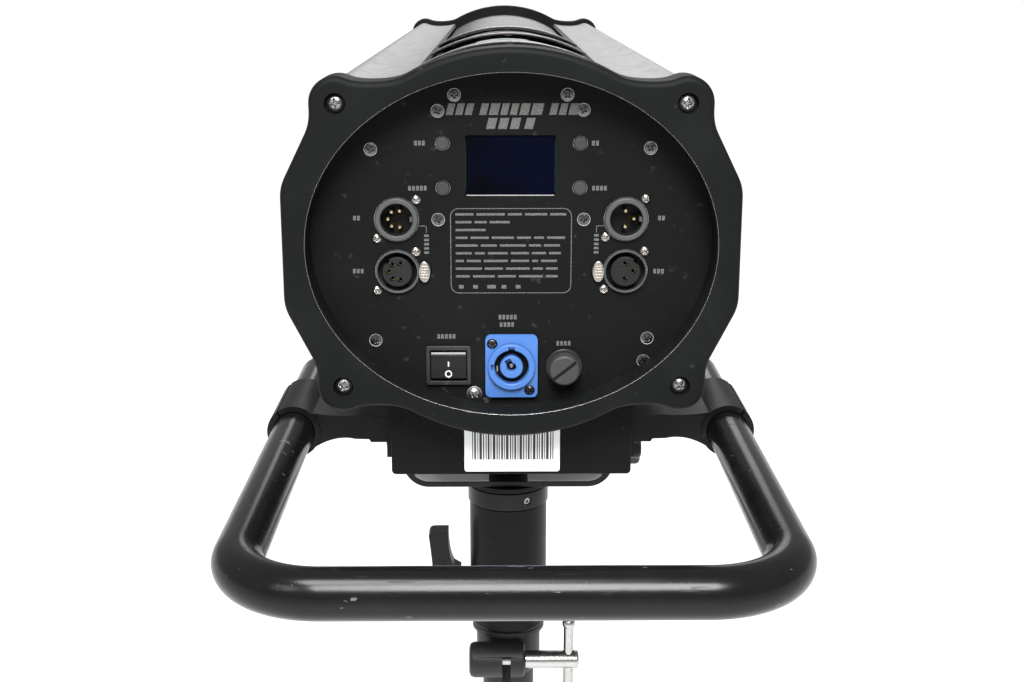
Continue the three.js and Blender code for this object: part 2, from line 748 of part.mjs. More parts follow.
function powerRocker() {
  const corners = [[-6.4, 6.8], [-4.9, 0], [-6.4, -6.8], [0, -6.9], [3, -4], [3, 4], [0, 6.9]];
  const turn = (p) => [
    p[0] * Math.cos(ROCKER_TILT) + p[1] * Math.sin(ROCKER_TILT),
    p[1] * Math.cos(ROCKER_TILT) - p[0] * Math.sin(ROCKER_TILT),
  ];
  const shape = new THREE.Shape(
    corners.map(turn).map(([y, z]) => new THREE.Vector2(ROCKER_AXIS_Y + y, SWITCH.z + z)),
  );
  return alongX(shape, SWITCH.x - 8.8, SWITCH.x + 8.8);
}

function fuseHolder() {
  const face = PANEL_Y - GAP;
  return turnedY([
    [4.8, face - 1.6], [8.8, face - 1.6], [9.2, face - 1.2], [9.2, face], [6.3, face],
    [6.3, face + 28], [4.8, face + 28], [4.8, face - 1.6],
  ], FUSE.x, FUSE.z, ROUND);
}

function fuseCap() {
  const face = PANEL_Y - GAP - 1.6 - GAP;
  const flutes = 18;
  const points = [];
  for (let i = 0; i < flutes * 2; i++) {
    const turn = (Math.PI * i) / flutes;
    const r = i % 2 ? 7.85 : 7.35;
    points.push(new THREE.Vector2(FUSE.x + r * Math.cos(turn), FUSE.z + r * Math.sin(turn)));
  }
  const slot = new THREE.BoxGeometry(18, 2.4, 1.6);
  slot.rotateY(Math.PI / 4);
  slot.translate(FUSE.x, face - 7, FUSE.z);
  const stem = rodY(4.4, face - 1, face + 24, FUSE.x, FUSE.z);
  return cut(join(alongY(new THREE.Shape(points), face - 7.2, face), stem), solid(slot));
}

// ---- head: inside ----
const ROD_X = 62;
const ROD_Z = -18;
const ROD_R = 4.4;
const GATE_Y = -40;
const FRONT_BULKHEAD_Y = 508;

const rodHole = (side, y0, y1) => rodY(ROD_R + GAP, y0, y1, side * ROD_X, ROD_Z);

// Casting that holds the condenser lens behind it and the iris in front of it.
function gatePlate() {
  return cut(
    join(
      alongY(roundedShape(0, 0, 150, 124, 5), GATE_Y, GATE_Y + 3, 4),
      turnedY(ringProfile(33.3, 37, GATE_Y - 20, GATE_Y + 1), 0, 0, LARGE_ROUND),
      turnedY(ringProfile(50, 54, GATE_Y + 1, GATE_Y + 13), 0, 0, LARGE_ROUND),
    ),
    rodY(26, GATE_Y - 1, GATE_Y + 4, 0, 0, LARGE_ROUND),
    rodHole(-1, GATE_Y - 1, GATE_Y + 4),
    rodHole(1, GATE_Y - 1, GATE_Y + 4),
  );
}

function irisRing() {
  const y = GATE_Y + 3 + GAP;
  return join(
    turnedY(ringProfile(26, 49.6, y, y + 8), 0, 0, LARGE_ROUND),
    block(-3, 3, y + 11, y + 14, 40, 62),
    block(-3, 3, y + 7, y + 14, 40, 46),
  );
}

// Front barrel of the optics: square bulkhead for the rods and the tube that holds the front lens.
function lensBarrel() {
  const y = FRONT_BULKHEAD_Y;
  return cut(
    join(
      alongY(roundedShape(0, 0, 150, 124, 5), y, y + 3, 4),
      rodY(LENS_RING_R, y + 2, FRONT_Y - 1, 0, 0, LARGE_ROUND),
    ),
    rodY(66, y - 1, y + 12, 0, 0, LARGE_ROUND),
    rodY(69, y + 11, FRONT_Y, 0, 0, LARGE_ROUND),
    rodHole(-1, y - 1, y + 2),
    rodHole(1, y - 1, y + 2),
  );
}

function guideRod(side) {
  return rodY(ROD_R, GATE_Y - 4, FRONT_BULKHEAD_Y + 1.7, side * ROD_X, ROD_Z);
}

// Lens carriage: plate with a lens seat and two bushes on the guide rods.
function carriage(y, seat) {
  const plate = alongY(roundedShape(0, 0, 142, 112, 8), y - 2, y + 2, 4);
  const bush = (side) => rodY(8, y - 14, y + 14, side * ROD_X, ROD_Z);
  return cut(
    join(plate, bush(-1), bush(1), rodY(seat + 3, y - 7, y + 7, 0, 0, LARGE_ROUND)),
    rodHole(-1, y - 20, y + 20),
    rodHole(1, y - 20, y + 20),
    rodY(seat + GAP, y - 8, y + 8, 0, 0, LARGE_ROUND),
  );
}

// Lens of a given rim radius, bulging the same on both faces.
function lens(y, rim, edge, bulge, segments = ROUND) {
  const steps = [0, 1, 2, 3];
  const face = (sign, i) => {
    const out = i / (steps.length - 1);
    return [rim * out, y + sign * (edge / 2 + bulge * (1 - out ** 2))];
  };
  const profile = [...steps.map((i) => face(-1, i)), ...steps.toReversed().map((i) => face(1, i))];
  return turnedY(profile, 0, 0, segments);
}

function heatsink() {
  const comb = new THREE.Shape();
  const fins = 12;
  const pitch = 10;
  const half = (fins * pitch - 6) / 2;
  comb.moveTo(half, -84);
  comb.lineTo(-half, -84);
  for (let i = 0; i < fins; i++) {
    const x = -half + i * pitch;
    comb.lineTo(x, -162);
    comb.lineTo(x + 4, -162);
    if (i < fins - 1) {
      comb.lineTo(x + 4, -92);
      comb.lineTo(x + pitch, -92);
    }
  }
  const geometry = new THREE.ExtrudeGeometry(comb, { depth: 104, bevelEnabled: false });
  geometry.translate(0, 0, -52);
  return solid(geometry);
}

function ledBoard() {
  return join(
    alongY(roundedShape(0, 0, 80, 80, 3), -83.6, -81.6, 3),
    alongY(roundedShape(0, 0, 28, 28, 2), -81.7, -78.5, 3),
  );
}

const FAN_Y = -196;

function fanFrame() {
  const strut = (x0, x1, z0, z1) => block(x0, x1, FAN_Y + 21, FAN_Y + 24, z0, z1);
  const duct = rodY(56, FAN_Y - 1, FAN_Y + 25, 0, 0, LARGE_ROUND);
  return join(
    cut(alongY(roundedShape(0, 0, 119, 119, 6), FAN_Y, FAN_Y + 24, 3), duct),
    rodY(19, FAN_Y + 20, FAN_Y + 24, 0, 0),
    strut(-57, 57, -2, 2),
    strut(-2, 2, -57, 57),
  );
}

function fanRotor() {
  const blades = 7;
  const parts = Array.from({ length: blades }, (_, i) => {
    const blade = new THREE.BoxGeometry(38, 1.6, 12);
    blade.rotateX(-0.7);
    blade.translate(34, FAN_Y + 10, 0);
    blade.rotateY((2 * Math.PI * i) / blades);
    return solid(blade);
  });
  return join(rodY(19, FAN_Y + 2, FAN_Y + 19, 0, 0), ...parts);
}

function powerSupply() {
  const low = BASE_BOTTOM + BASE_WALL + GAP;
  return join(block(-50, 50, -238, -50, low, -97), block(-46, 46, -51, -38, low, -108));
}

function controlBoard() {
  return join(
    block(-46, 46, -250, -248.4, 20, 62),
    block(-24, 24, -268.5, -249, 24, 50),
    block(-40, -28, -249, -236, 24, 34),
    block(28, 40, -249, -236, 24, 34),
  );
}

// ---- assembly ----
function group(z, ...children) {
  const made = new THREE.Group();
  made.position.z = z;
  made.add(...children);
  return made;
}

function menuButtons() {
  return Object.entries(BUTTONS).map(([name, [x, z]]) => {
    const made = mesh(name, button(), greyPlastic);
    made.position.set(x, PANEL_Y, z);
    return made;
  });
}

const standAdapter = group(
  0,
  mesh("stand_socket", standSocket(), blackPaint),
  mesh("clamp_bolt", clampBolt(), steel),
  mesh("tommy_bar", tommyBar(), steel),
  mesh("swivel_sleeve", swivelSleeve(), blackPaint),
  mesh("sleeve_ring", sleeveRing(), blackSatin),
  mesh("pan_lock_lever", panLockLever(), plastic),
);

const yoke = group(
  0,
  mesh("pan_spindle", panSpindle(), blackPaint),
  mesh("spindle_nut", spindleNut(), blackSatin),
  mesh("yoke_bracket", yokeBracket(), blackPaint),
  mesh("tilt_pivot_bolt", tiltPivotBolt(), steel),
  mesh("tilt_lock_knob", tiltLockKnob(), plastic),
);

const shell = group(
  0,
  mesh("rear_bezel", rearBezel(), blackMoulded),
  mesh("front_bezel", frontBezel(), blackMoulded),
  mesh("side_panel_left", sidePanel(-1), aluminium),
  mesh("side_panel_right", sidePanel(1), aluminium),
  ...LIPS.map((_, i) => mesh(`vent_plate_${i + 1}`, ventPlate(i), blackPaint)),
  mesh("top_cover", topCover(), blackPaint),
  mesh("bottom_cover", bottomCover(), blackPaint),
  mesh("electronics_box", baseBox(), blackPaint),
  mesh("tilt_bracket", tiltBracket(), blackPaint),
  mesh("handle_bracket_left", handleBracket(-1), blackPaint),
  mesh("handle_bracket_right", handleBracket(1), blackPaint),
  mesh("handle", handleTube(), blackSatin),
);

const panel = group(
  0,
  mesh("rear_panel", rearPanel(), panelPaint),
  mesh("display_window", displayWindow(), glass),
  mesh("dmx_in_left", dmxSocket(-1, MALE_Z, 8, 12), greyPlastic),
  mesh("dmx_out_left", dmxSocket(-1, FEMALE_Z, 7.4, 1.5), greyPlastic),
  mesh("dmx_in_right", dmxSocket(1, MALE_Z, 8, 12), greyPlastic),
  mesh("dmx_out_right", dmxSocket(1, FEMALE_Z, 7.4, 1.5), greyPlastic),
  mesh("dmx_latch_left", latchSolid(-1, 0, PANEL_Y - 2.6, PANEL_Y + 8), steel),
  mesh("dmx_latch_right", latchSolid(1, 0, PANEL_Y - 2.6, PANEL_Y + 8), steel),
  mesh("power_inlet", powerInlet(), bluePlastic),
  mesh("switch_frame", switchFrame(), plastic),
  mesh("power_rocker", powerRocker(), plastic),
  mesh("fuse_holder", fuseHolder(), plastic),
  mesh("fuse_cap", fuseCap(), plastic),
  ...menuButtons(),
);

const optics = group(
  0,
  mesh("heatsink", heatsink(), aluminium),
  mesh("led_board", ledBoard(), circuit),
  mesh("fan_frame", fanFrame(), plastic),
  mesh("fan_rotor", fanRotor(), plastic),
  mesh("gate_plate", gatePlate(), aluminium),
  mesh("lens_barrel", lensBarrel(), blackPaint),
  mesh("guide_rod_left", guideRod(-1), steel),
  mesh("guide_rod_right", guideRod(1), steel),
  mesh("condenser_lens", lens(GATE_Y - 14, 33, 4, 6), clearGlass),
  mesh("iris_ring", irisRing(), steel),
  mesh("focus_carriage", carriage(190, 42), blackPaint),
  mesh("focus_lens", lens(190, 42, 5, 6), clearGlass),
  mesh("zoom_carriage", carriage(360, 46), blackPaint),
  mesh("zoom_lens", lens(360, 46, 5, 6), clearGlass),
  mesh("front_lens", lens(532, 68.6, 5, 7, LARGE_ROUND), clearGlass),
  mesh("power_supply", powerSupply(), aluminium),
  mesh("control_board", controlBoard(), circuit),
);

const followSpot = new THREE.Group();
followSpot.add(standAdapter, yoke, group(LAMP_Z, shell, panel, optics));

export default followSpot;
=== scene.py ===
# Follow spot on its yoke and stand clamp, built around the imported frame.
from math import acos, asin, atan2, cos, degrees, dist, hypot, pi, radians, sin, sqrt

import bmesh
import bpy
from mathutils import Matrix, Vector


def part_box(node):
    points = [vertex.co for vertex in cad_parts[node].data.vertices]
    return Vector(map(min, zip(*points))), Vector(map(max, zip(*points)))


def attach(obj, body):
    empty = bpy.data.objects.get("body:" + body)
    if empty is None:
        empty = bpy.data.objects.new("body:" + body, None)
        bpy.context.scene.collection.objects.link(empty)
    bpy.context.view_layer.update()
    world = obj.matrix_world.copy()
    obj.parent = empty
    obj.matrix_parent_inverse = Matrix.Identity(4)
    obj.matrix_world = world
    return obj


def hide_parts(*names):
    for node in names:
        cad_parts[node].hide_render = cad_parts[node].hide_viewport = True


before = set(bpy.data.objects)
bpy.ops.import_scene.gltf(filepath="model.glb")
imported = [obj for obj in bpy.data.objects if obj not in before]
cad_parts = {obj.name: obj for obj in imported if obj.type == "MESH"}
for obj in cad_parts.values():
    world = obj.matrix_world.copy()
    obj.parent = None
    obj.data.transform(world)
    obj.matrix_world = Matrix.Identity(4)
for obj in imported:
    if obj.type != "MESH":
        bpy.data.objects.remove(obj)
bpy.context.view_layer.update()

# ---- Camera, floor and light ----
# A 50 mm lens stands behind the operator's side and looks down along the beam. The part hangs over a far pale
# floor, lit by a soft sun, a broad light over the camera, weak ones behind and at the left, and a pale sky.
scene = bpy.context.scene
camera = bpy.data.objects.new("camera", bpy.data.cameras.new("camera"))
camera.data.lens = 50
camera.data.sensor_width = 36
camera.data.clip_end = 400
camera.location = (-0.00595, -0.958, 0.5326)
camera.rotation_euler = (radians(90 - 14.52), 0, radians(-0.52))
scene.collection.objects.link(camera)
scene.camera = camera
scene.view_settings.view_transform = "Standard"

FLOOR_HALF = 150
FLOOR_Z = -0.9
floor_mesh = bpy.data.meshes.new("floor")
corners = [(-1, -1), (1, -1), (1, 1), (-1, 1)]
floor_mesh.from_pydata([(x * FLOOR_HALF, y * FLOOR_HALF, FLOOR_Z) for x, y in corners], [], [(0, 1, 2, 3)])
floor = bpy.data.objects.new("floor", floor_mesh)
scene.collection.objects.link(floor)
floor_paint = bpy.data.materials.new("floor_paint")
floor_paint.use_nodes = True
floor_shader = floor_paint.node_tree.nodes["Principled BSDF"]
floor_shader.inputs["Base Color"].default_value = (0.92, 0.92, 0.92, 1)
floor_shader.inputs["Roughness"].default_value = 0.9
floor_mesh.materials.append(floor_paint)

sky = bpy.data.worlds.new("sky")
sky.use_nodes = True
sky.node_tree.nodes["Background"].inputs["Color"].default_value = (1, 1, 1, 1)
sky.node_tree.nodes["Background"].inputs["Strength"].default_value = 0.4
scene.world = sky


def light(name, kind, energy, toward, place=(0, 0, 0)):
    """A light at its place that shines toward a direction."""
    lamp = bpy.data.lights.new(name, kind)
    lamp.energy = energy
    holder = bpy.data.objects.new(name, lamp)
    holder.location = place
    holder.rotation_euler = Vector(toward).to_track_quat("-Z", "Y").to_euler()
    scene.collection.objects.link(holder)
    return lamp


light("top_light", "SUN", 2.5, (0.15, 0.3, -0.94)).angle = radians(20)
for name, place, aim, width, power in (
        ("front_light", (0.1, -2.4, 2.5), (0, -0.4, 0.3), 1.5, 200),
        ("back_light", (0.2, 4.2, 1.75), (0, 0.2, 0.45), 1.6, 12),
        ("left_light", (-1.1, -1.6, 1.5), (0, -0.2, 0.4), 0.7, 8)):
    lamp = light(name, "AREA", power, Vector(aim) - Vector(place), place)
    lamp.shape = "DISK"
    lamp.size = width

# ---- Rear bezel ----
# A thick moulded ring of textured black with four screw lobes, a domed top and bottom and an oval opening
# that frames the panel. It closes the shell, held by a screw in each lobe, and its edges are rolled over.
MM = 0.001


def give(tree, socket, value):
    if isinstance(value, Value):
        tree.links.new(value.socket, socket)
    else:
        socket.default_value = value


class Value:
    """What a node's socket gives, so that a finish is written as sums."""

    def __init__(self, tree, socket):
        self.tree = tree
        self.socket = socket

    def math(self, operation, *terms):
        node = self.tree.nodes.new("ShaderNodeMath")
        node.operation = operation
        for socket, term in zip(node.inputs, terms):
            give(self.tree, socket, term)
        return Value(self.tree, node.outputs[0])

    def __add__(self, other):
        return self.math("ADD", self, other)

    def __sub__(self, other):
        return self.math("SUBTRACT", self, other)

    def __rsub__(self, other):
        return self.math("SUBTRACT", other, self)

    def __mul__(self, other):
        return self.math("MULTIPLY", self, other)

    __radd__ = __add__
    __rmul__ = __mul__


def rgb(color):
    return color if isinstance(color, tuple) else (color, color, color)


class Finish:
    """A material with one Principled shader, and the slot of the part that it belongs to."""

    def __init__(self, name, color, roughness, metallic=0.0, gloss=0.5, slot="black_plastic"):
        self.material = bpy.data.materials.new(name)
        self.material.use_nodes = True
        self.tree = self.material.node_tree
        self.shader = self.tree.nodes["Principled BSDF"]
        self.slot = slot
        self.feed("Base Color", (*rgb(color), 1))
        self.feed("Roughness", roughness)
        self.feed("Metallic", metallic)
        self.feed("Specular IOR Level", gloss)
        self.place = self.node("TexCoord", output=3)

    def feed(self, socket, value):
        give(self.tree, self.shader.inputs[socket], value)

    def node(self, kind, settings=None, values=None, output=0):
        node = self.tree.nodes.new("ShaderNode" + kind)
        for setting, value in (settings or {}).items():
            setattr(node, setting, value)
        for socket, value in (values or {}).items():
            give(self.tree, node.inputs[socket], value)
        return Value(self.tree, node.outputs[output])

    def noise(self, size, detail=2, stretch=(1, 1, 1)):
        """Noise whose patches are size millimetres across, longer where stretch is over 1."""
        scaled = self.node("VectorMath", {"operation": "DIVIDE"}, {0: self.place, 1: stretch})
        return self.node("TexNoise", None, {"Vector": scaled, "Scale": 1 / (size * MM), "Detail": detail})

    def step(self, value, low, high):
        """0 below low, 1 above high."""
        spread = {"Value": value, "From Min": low, "From Max": high}
        return self.node("MapRange", {"interpolation_type": "SMOOTHSTEP"}, spread)

    def mix(self, amount, plain, other):
        colors = {0: amount, 6: plain if isinstance(plain, Value) else (*rgb(plain), 1), 7: (*rgb(other), 1)}
        return self.node("Mix", {"data_type": "RGBA"}, colors, 2)

    def bump(self, height, depth):
        """Relief of depth millimetres."""
        self.feed("Normal", self.node("Bump", None, {"Height": height, "Distance": depth * MM}))


def painted(name, color, roughness, gloss, grain, depth, dust=0.35, slot="black_paint"):
    """Black paint or moulded skin: a fine grain in relief, uneven sheen, faint dust and a few worn spots."""
    coat = Finish(name, color, roughness, gloss=gloss, slot=slot)
    texture = coat.noise(grain, 3)
    cloud = coat.noise(40, 4)
    spots = coat.step(coat.noise(5, 5), 0.66, 0.74)
    paler = tuple(c * 2.2 + 0.006 for c in rgb(color))
    worn = tuple(c * 2 + 0.03 for c in rgb(color))
    dusty = coat.mix(coat.step(cloud, 0.45, 0.75) * dust + texture * 0.12, color, paler)
    coat.feed("Base Color", coat.mix(spots * 0.35, dusty, worn))
    coat.feed("Roughness", roughness + (cloud - 0.5) * 0.16 + (texture - 0.5) * 0.12 + spots * 0.08)
    coat.bump(texture, depth)
    return coat


def made(points, faces):
    """An object from points in millimetres, its faces turned out."""
    mesh = bpy.data.meshes.new("part")
    mesh.from_pydata([Vector(p) * MM for p in points], [], faces)
    work = bmesh.new()
    work.from_mesh(mesh)
    bmesh.ops.remove_doubles(work, verts=work.verts, dist=1e-7)
    bmesh.ops.recalc_face_normals(work, faces=work.faces)
    work.to_mesh(mesh)
    work.free()
    part = bpy.data.objects.new("part", mesh)
    scene.collection.objects.link(part)
    return part


def loft(rings, closed=False):
    """Skin over rings of as many points each, capped at both ends or closed on itself."""
    count = len(rings[0])
    points = [p for ring in rings for p in ring]
    faces = []
    for i in range(len(rings) if closed else len(rings) - 1):
        a = i * count
        b = (i + 1) % len(rings) * count
        for k in range(count):
            n = (k + 1) % count
            faces.append((a + k, a + n, b + n, b + k))
    if not closed:
        faces.append(tuple(range(count)))
        faces.append(tuple(range(len(points) - 1, len(points) - 1 - count, -1)))
    return made(points, faces)


def stack(at, levels, closed=False):
    """Skin over (shape, height) levels, each shape a loop of points across the place's own z."""
    return loft([[at @ Vector((x, y, h)) for x, y in shape] for shape, h in levels], closed)


def without_specks(part):
    """Drops the faces of no area that a ring on the axis leaves."""
    work = bmesh.new()
    work.from_mesh(part.data)
    tiny = [f for f in work.faces if f.calc_area() < 1e-13]
    bmesh.ops.delete(work, geom=tiny, context="FACES_ONLY")
    bmesh.ops.recalc_face_normals(work, faces=work.faces)
    work.to_mesh(part.data)
    work.free()
    return part


def oval(half_x, half_y, sides=48):
    turns = [2 * pi * k / sides for k in range(sides)]
    return [(half_x * cos(t), half_y * sin(t)) for t in turns]


def circle(radius, sides=48):
    return oval(radius, radius, sides)


def turned(profile, at, sides=56):
    """Turned piece: a profile of (radius, height) from axis to axis, or one off the axis that closes itself."""
    closed = profile[0][0] != 0
    part = stack(at, [(circle(r, sides), h) for r, h in profile], closed)
    return part if closed else without_specks(part)


def rod(radius, low, high, at, sides=48):
    return turned(rect(0, radius, low, high), at, sides)


def slab(outline, low, high, at):
    """Flat outline of (x, y) points with a thickness along its own z."""
    return stack(at, [(outline, low), (outline, high)])


def rect(x0, x1, y0, y1):
    return [(x0, y0), (x1, y0), (x1, y1), (x0, y1)]


def settle(part):
    """Keeps what the modifiers make of a part."""
    graph = bpy.context.evaluated_depsgraph_get()
    mesh = bpy.data.meshes.new_from_object(part.evaluated_get(graph))
    part.modifiers.clear()
    part.data = mesh


def cut(part, *tools, operation="DIFFERENCE"):
    for tool in tools:
        change = part.modifiers.new("cut", "BOOLEAN")
        change.object = tool
        change.operation = operation
        settle(part)
        bpy.data.objects.remove(tool)
    return part


def together(*parts):
    """Several shells as one object."""
    work = bmesh.new()
    for part in parts:
        work.from_mesh(part.data)
        bpy.data.objects.remove(part)
    mesh = bpy.data.meshes.new("part")
    work.to_mesh(mesh)
    work.free()
    joined = bpy.data.objects.new("part", mesh)
    scene.collection.objects.link(joined)
    return joined


def piece(name, part, finish, *nodes, body="head", slot=None, edge=0.0, angle=32):
    """Rounds the part's sharp edges by edge millimetres, names it, and lets it ride on its body."""
    part.name = name
    part.data.name = name
    if edge:
        rounded = part.modifiers.new("edge", "BEVEL")
        rounded.width = edge * MM
        rounded.segments = 2
        rounded.limit_method = "ANGLE"
        rounded.angle_limit = radians(angle)
        settle(part)
    part.data.shade_smooth()
    part.data.set_sharp_from_angle(angle=radians(50 if edge else 38))
    flat = part.modifiers.new("flat", "WEIGHTED_NORMAL")
    flat.keep_sharp = True
    settle(part)
    part.data.materials.clear()
    part.data.materials.append(finish.material)
    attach(part, body)
    if nodes:
        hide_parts(*nodes)
    return part


def box(node):
    low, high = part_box(node)
    return low / MM, high / MM


def to_operator(x, z, y):
    """Place whose own z points to the operator, and whose y points up."""
    return Matrix(((1, 0, 0, x), (0, 0, -1, y), (0, 1, 0, z), (0, 0, 0, 1)))


def upright(x, y, z):
    return Matrix.Translation((x, y, z))


def arc(cx, cy, radius, start, end, steps):
    """Points of an arc, its angles in degrees."""
    turns = [radians(start + (end - start) * i / steps) for i in range(steps + 1)]
    return [(cx + radius * cos(t), cy + radius * sin(t)) for t in turns]


def curve(points, steps):
    """Bezier curve of three or four points, without its first."""
    along = []
    for i in range(1, steps + 1):
        left = [Vector(p) for p in points]
        while len(left) > 1:
            left = [a.lerp(b, i / steps) for a, b in zip(left, left[1:])]
        along.append(tuple(left[0]))
    return along


bezel_low, bezel_high = box("rear_bezel")
LAMP_Z = (bezel_low.z + bezel_high.z) / 2
REAR_Y = bezel_low.y
HALF_WIDTH = bezel_high.x
DOME_TOP = bezel_high.z - LAMP_Z
DOME_R = 101
DOME_Z = DOME_TOP - DOME_R
LOBE_X, LOBE_Z, LOBE_R = 82.4, 68.6, 12.65
OPENING_X, OPENING_Z = 98.3, 82.4
BEND_START = 24


def quarter_outline():
    """A quarter of the bezels' outline, from the side up over the screw lobe to the top of the dome."""
    shoulder = (HALF_WIDTH - 2.2, 33.5)
    lobe_start = (LOBE_X + LOBE_R, LOBE_Z - 1.6)
    lobe_arc = arc(LOBE_X, LOBE_Z, LOBE_R, 0, 115, 14)
    dome_start = degrees(acos(50 / DOME_R))
    dome = arc(0, DOME_Z, DOME_R, dome_start, 90, 16)
    straight = [(HALF_WIDTH, i * BEND_START / 4) for i in range(5)]
    points = straight + curve([(HALF_WIDTH, BEND_START), (HALF_WIDTH, 29), shoulder], 5)
    points += curve([shoulder, (97.2, 54.6)], 5)
    points += curve([(97.2, 54.6), (94.6, 59.8), lobe_start], 5)
    points += lobe_arc
    points += curve([lobe_arc[-1], (71.6, 77.5), (55.2, 78.3), dome[0]], 8)
    return points + dome[1:]


def outline(inset):
    """The bezels' whole outline, moved inwards by inset."""
    quarter = quarter_outline()
    back = quarter[::-1]
    loop = quarter + [(-x, z) for x, z in back] + [(-x, -z) for x, z in quarter] + [(x, -z) for x, z in back]
    loop = [p for i, p in enumerate(loop) if dist(p, loop[i - 1]) > 0.05]
    moved = []
    for i, (x, z) in enumerate(loop):
        xa, za = loop[i - 1]
        xb, zb = loop[(i + 1) % len(loop)]
        length = hypot(xb - xa, zb - za)
        moved.append((x - (zb - za) / length * inset, z + (xb - xa) / length * inset))
    return moved


def bezel_ring(y, shape):
    """A ring of points in the plane at y."""
    return [Vector((x, y, LAMP_Z + z)) for x, z in shape]


def opening_ring(grow, half_x=OPENING_X, half_z=OPENING_Z):
    """Points of the opening's edge, each in line with one of the outline's."""
    ring = []
    for x, z in outline(0):
        turn = atan2(z / OPENING_Z, x / OPENING_X)
        ring.append(((half_x + grow) * cos(turn), (half_z + grow) * sin(turn)))
    return ring


def rolled(y, inward, radius, shape, start, end, steps=4):
    """Rings round a rolled edge: the outline moves by the arc's sine as the depth moves by its cosine."""
    rings = []
    for i in range(steps + 1):
        turn = radians(start + (end - start) * i / steps)
        rings.append(bezel_ring(y + inward * radius * (1 - cos(turn)), shape(radius * (1 - sin(turn)))))
    return rings


EDGE_R = 3.2
LIP_R = 0.9
PANEL_Y = box("rear_panel")[0].y
bezel_skin = painted("bezel_skin", (0.0046, 0.0050, 0.0050), 0.52, 0.06, 0.55, 0.11, dust=0.2,
    slot="black_moulded")
BEZEL_FRONT_Y = bezel_high.y
LEDGE_GROW = 3.3


def bezel(face_y, inward, back_y, opening, ledge):
    """A bezel's skin, from its rolled outer edge round its back and its ledge to the lip of its opening."""
    back = [bezel_ring(back_y - inward * 0.6, outline(0)), bezel_ring(back_y, outline(0.6))]
    outer = rolled(face_y, inward, EDGE_R, outline, 0, 90)
    return loft(outer + back + ledge + rolled(face_y, inward, LIP_R, opening, 90, 0, 3), closed=True)


ledge_places = ((BEZEL_FRONT_Y, LEDGE_GROW), (PANEL_Y - 0.3, LEDGE_GROW), (PANEL_Y - 0.3, 0))
ledge = [bezel_ring(y, opening_ring(grow)) for y, grow in ledge_places]
rear_bezel = bezel(REAR_Y, 1, BEZEL_FRONT_Y, opening_ring, ledge)
SCREW_WELL = 5
lobes = [(sx * LOBE_X, sz * LOBE_Z) for sx in (1, -1) for sz in (1, -1)]
cut(rear_bezel, together(*[rod(SCREW_WELL, -4, 4, to_operator(x, LAMP_Z + z, REAR_Y)) for x, z in lobes]))
piece("rear_bezel_ring", rear_bezel, bezel_skin, "rear_bezel")


def cross_screw(radius, height, at, turn=20.0, sunk=0.0):
    """Round or countersunk head with a cross recess, its rim sunk below the surface or standing on it."""
    sides, steps, skirt = 40, 11, 1.2
    reach, arm = radius * 0.58, radius * 0.17
    rings = [[at @ Vector((x, y, -sunk - skirt)) for x, y in circle(radius, sides)]]
    for i in range(steps + 1):
        r = radius * (1 - i / steps)
        dome = height * (1 - (r / radius) ** 2.4)
        ring = []
        for k, (x, y) in enumerate(circle(r, sides)):
            b = 2 * pi * k / sides + radians(turn)
            u, v = sorted((abs(r * cos(b)), abs(r * sin(b))))
            inside = max(0.0, min(1.0, (arm * (1.15 - v / reach * 0.35) - u) / (radius * 0.07)))
            inside *= max(0.0, min(1.0, (reach - v) / (radius * 0.12)))
            ring.append(at @ Vector((x, y, dome - sunk - inside * radius * 0.42)))
        rings.append(ring)
    return without_specks(loft(rings))


def screws(name, finish, radius, height, placed, sunk=0.0, body="head"):
    """One piece of several like screws, from the place and turn of each."""
    heads = [cross_screw(radius, height, at, turn, sunk) for at, turn in placed]
    piece(name, together(*heads), finish, body=body)


def metal(name, color, roughness, grain=(1, 1, 1), scuff=0.3, metallic=1, slot="bright_steel"):
    """Bare or plated metal: a directional grain, dull patches and small darker scuffs."""
    coat = Finish(name, color, roughness, metallic, slot=slot)
    lines = coat.noise(0.5, 3, grain)
    cloud = coat.noise(9, 4)
    spots = coat.step(coat.noise(2.2, 4), 0.6, 0.72)
    darker = tuple(c * 0.45 for c in rgb(color))
    coat.feed("Base Color", coat.mix(spots * scuff + coat.step(cloud, 0.5, 0.8) * 0.25, color, darker))
    coat.feed("Roughness", roughness + (cloud - 0.5) * 0.2 + (lines - 0.5) * 0.15 + spots * 0.12)
    coat.bump(lines, 0.02)
    return coat


screw_steel = metal("screw_steel", (0.33, 0.33, 0.34), 0.36)
placed = [(to_operator(x, LAMP_Z + z, REAR_Y + 3.4), 12 + 31 * i) for i, (x, z) in enumerate(lobes)]
screws("rear_bezel_screws", screw_steel, 4.1, 1.5, placed)

# ---- Front bezel ----
# The same black moulding as at the rear, turned to the beam, with four screw lobes and a round opening for
# the lens tube. A screw in each lobe holds it to the side panels.


def to_beam(x, z, y):
    return Matrix(((-1, 0, 0, x), (0, 0, 1, y), (0, 1, 0, z), (0, 0, 0, 1)))


front_low, front_high = box("front_bezel")
FRONT_Y = front_high.y
TUBE_HOLE = 72.3


def tube_opening(inset):
    return opening_ring(inset, TUBE_HOLE, TUBE_HOLE)


front_bezel = bezel(FRONT_Y, -1, front_low.y, tube_opening, [bezel_ring(front_low.y, tube_opening(0))])
cut(front_bezel, together(*[rod(SCREW_WELL, -4, 4, to_beam(x, LAMP_Z + z, FRONT_Y)) for x, z in lobes]))
piece("front_bezel_ring", front_bezel, bezel_skin, "front_bezel")
placed = [(to_beam(x, LAMP_Z + z, FRONT_Y - 3.4), 40 + 27 * i) for i, (x, z) in enumerate(lobes)]
screws("front_bezel_screws", screw_steel, 4.1, 1.5, placed)

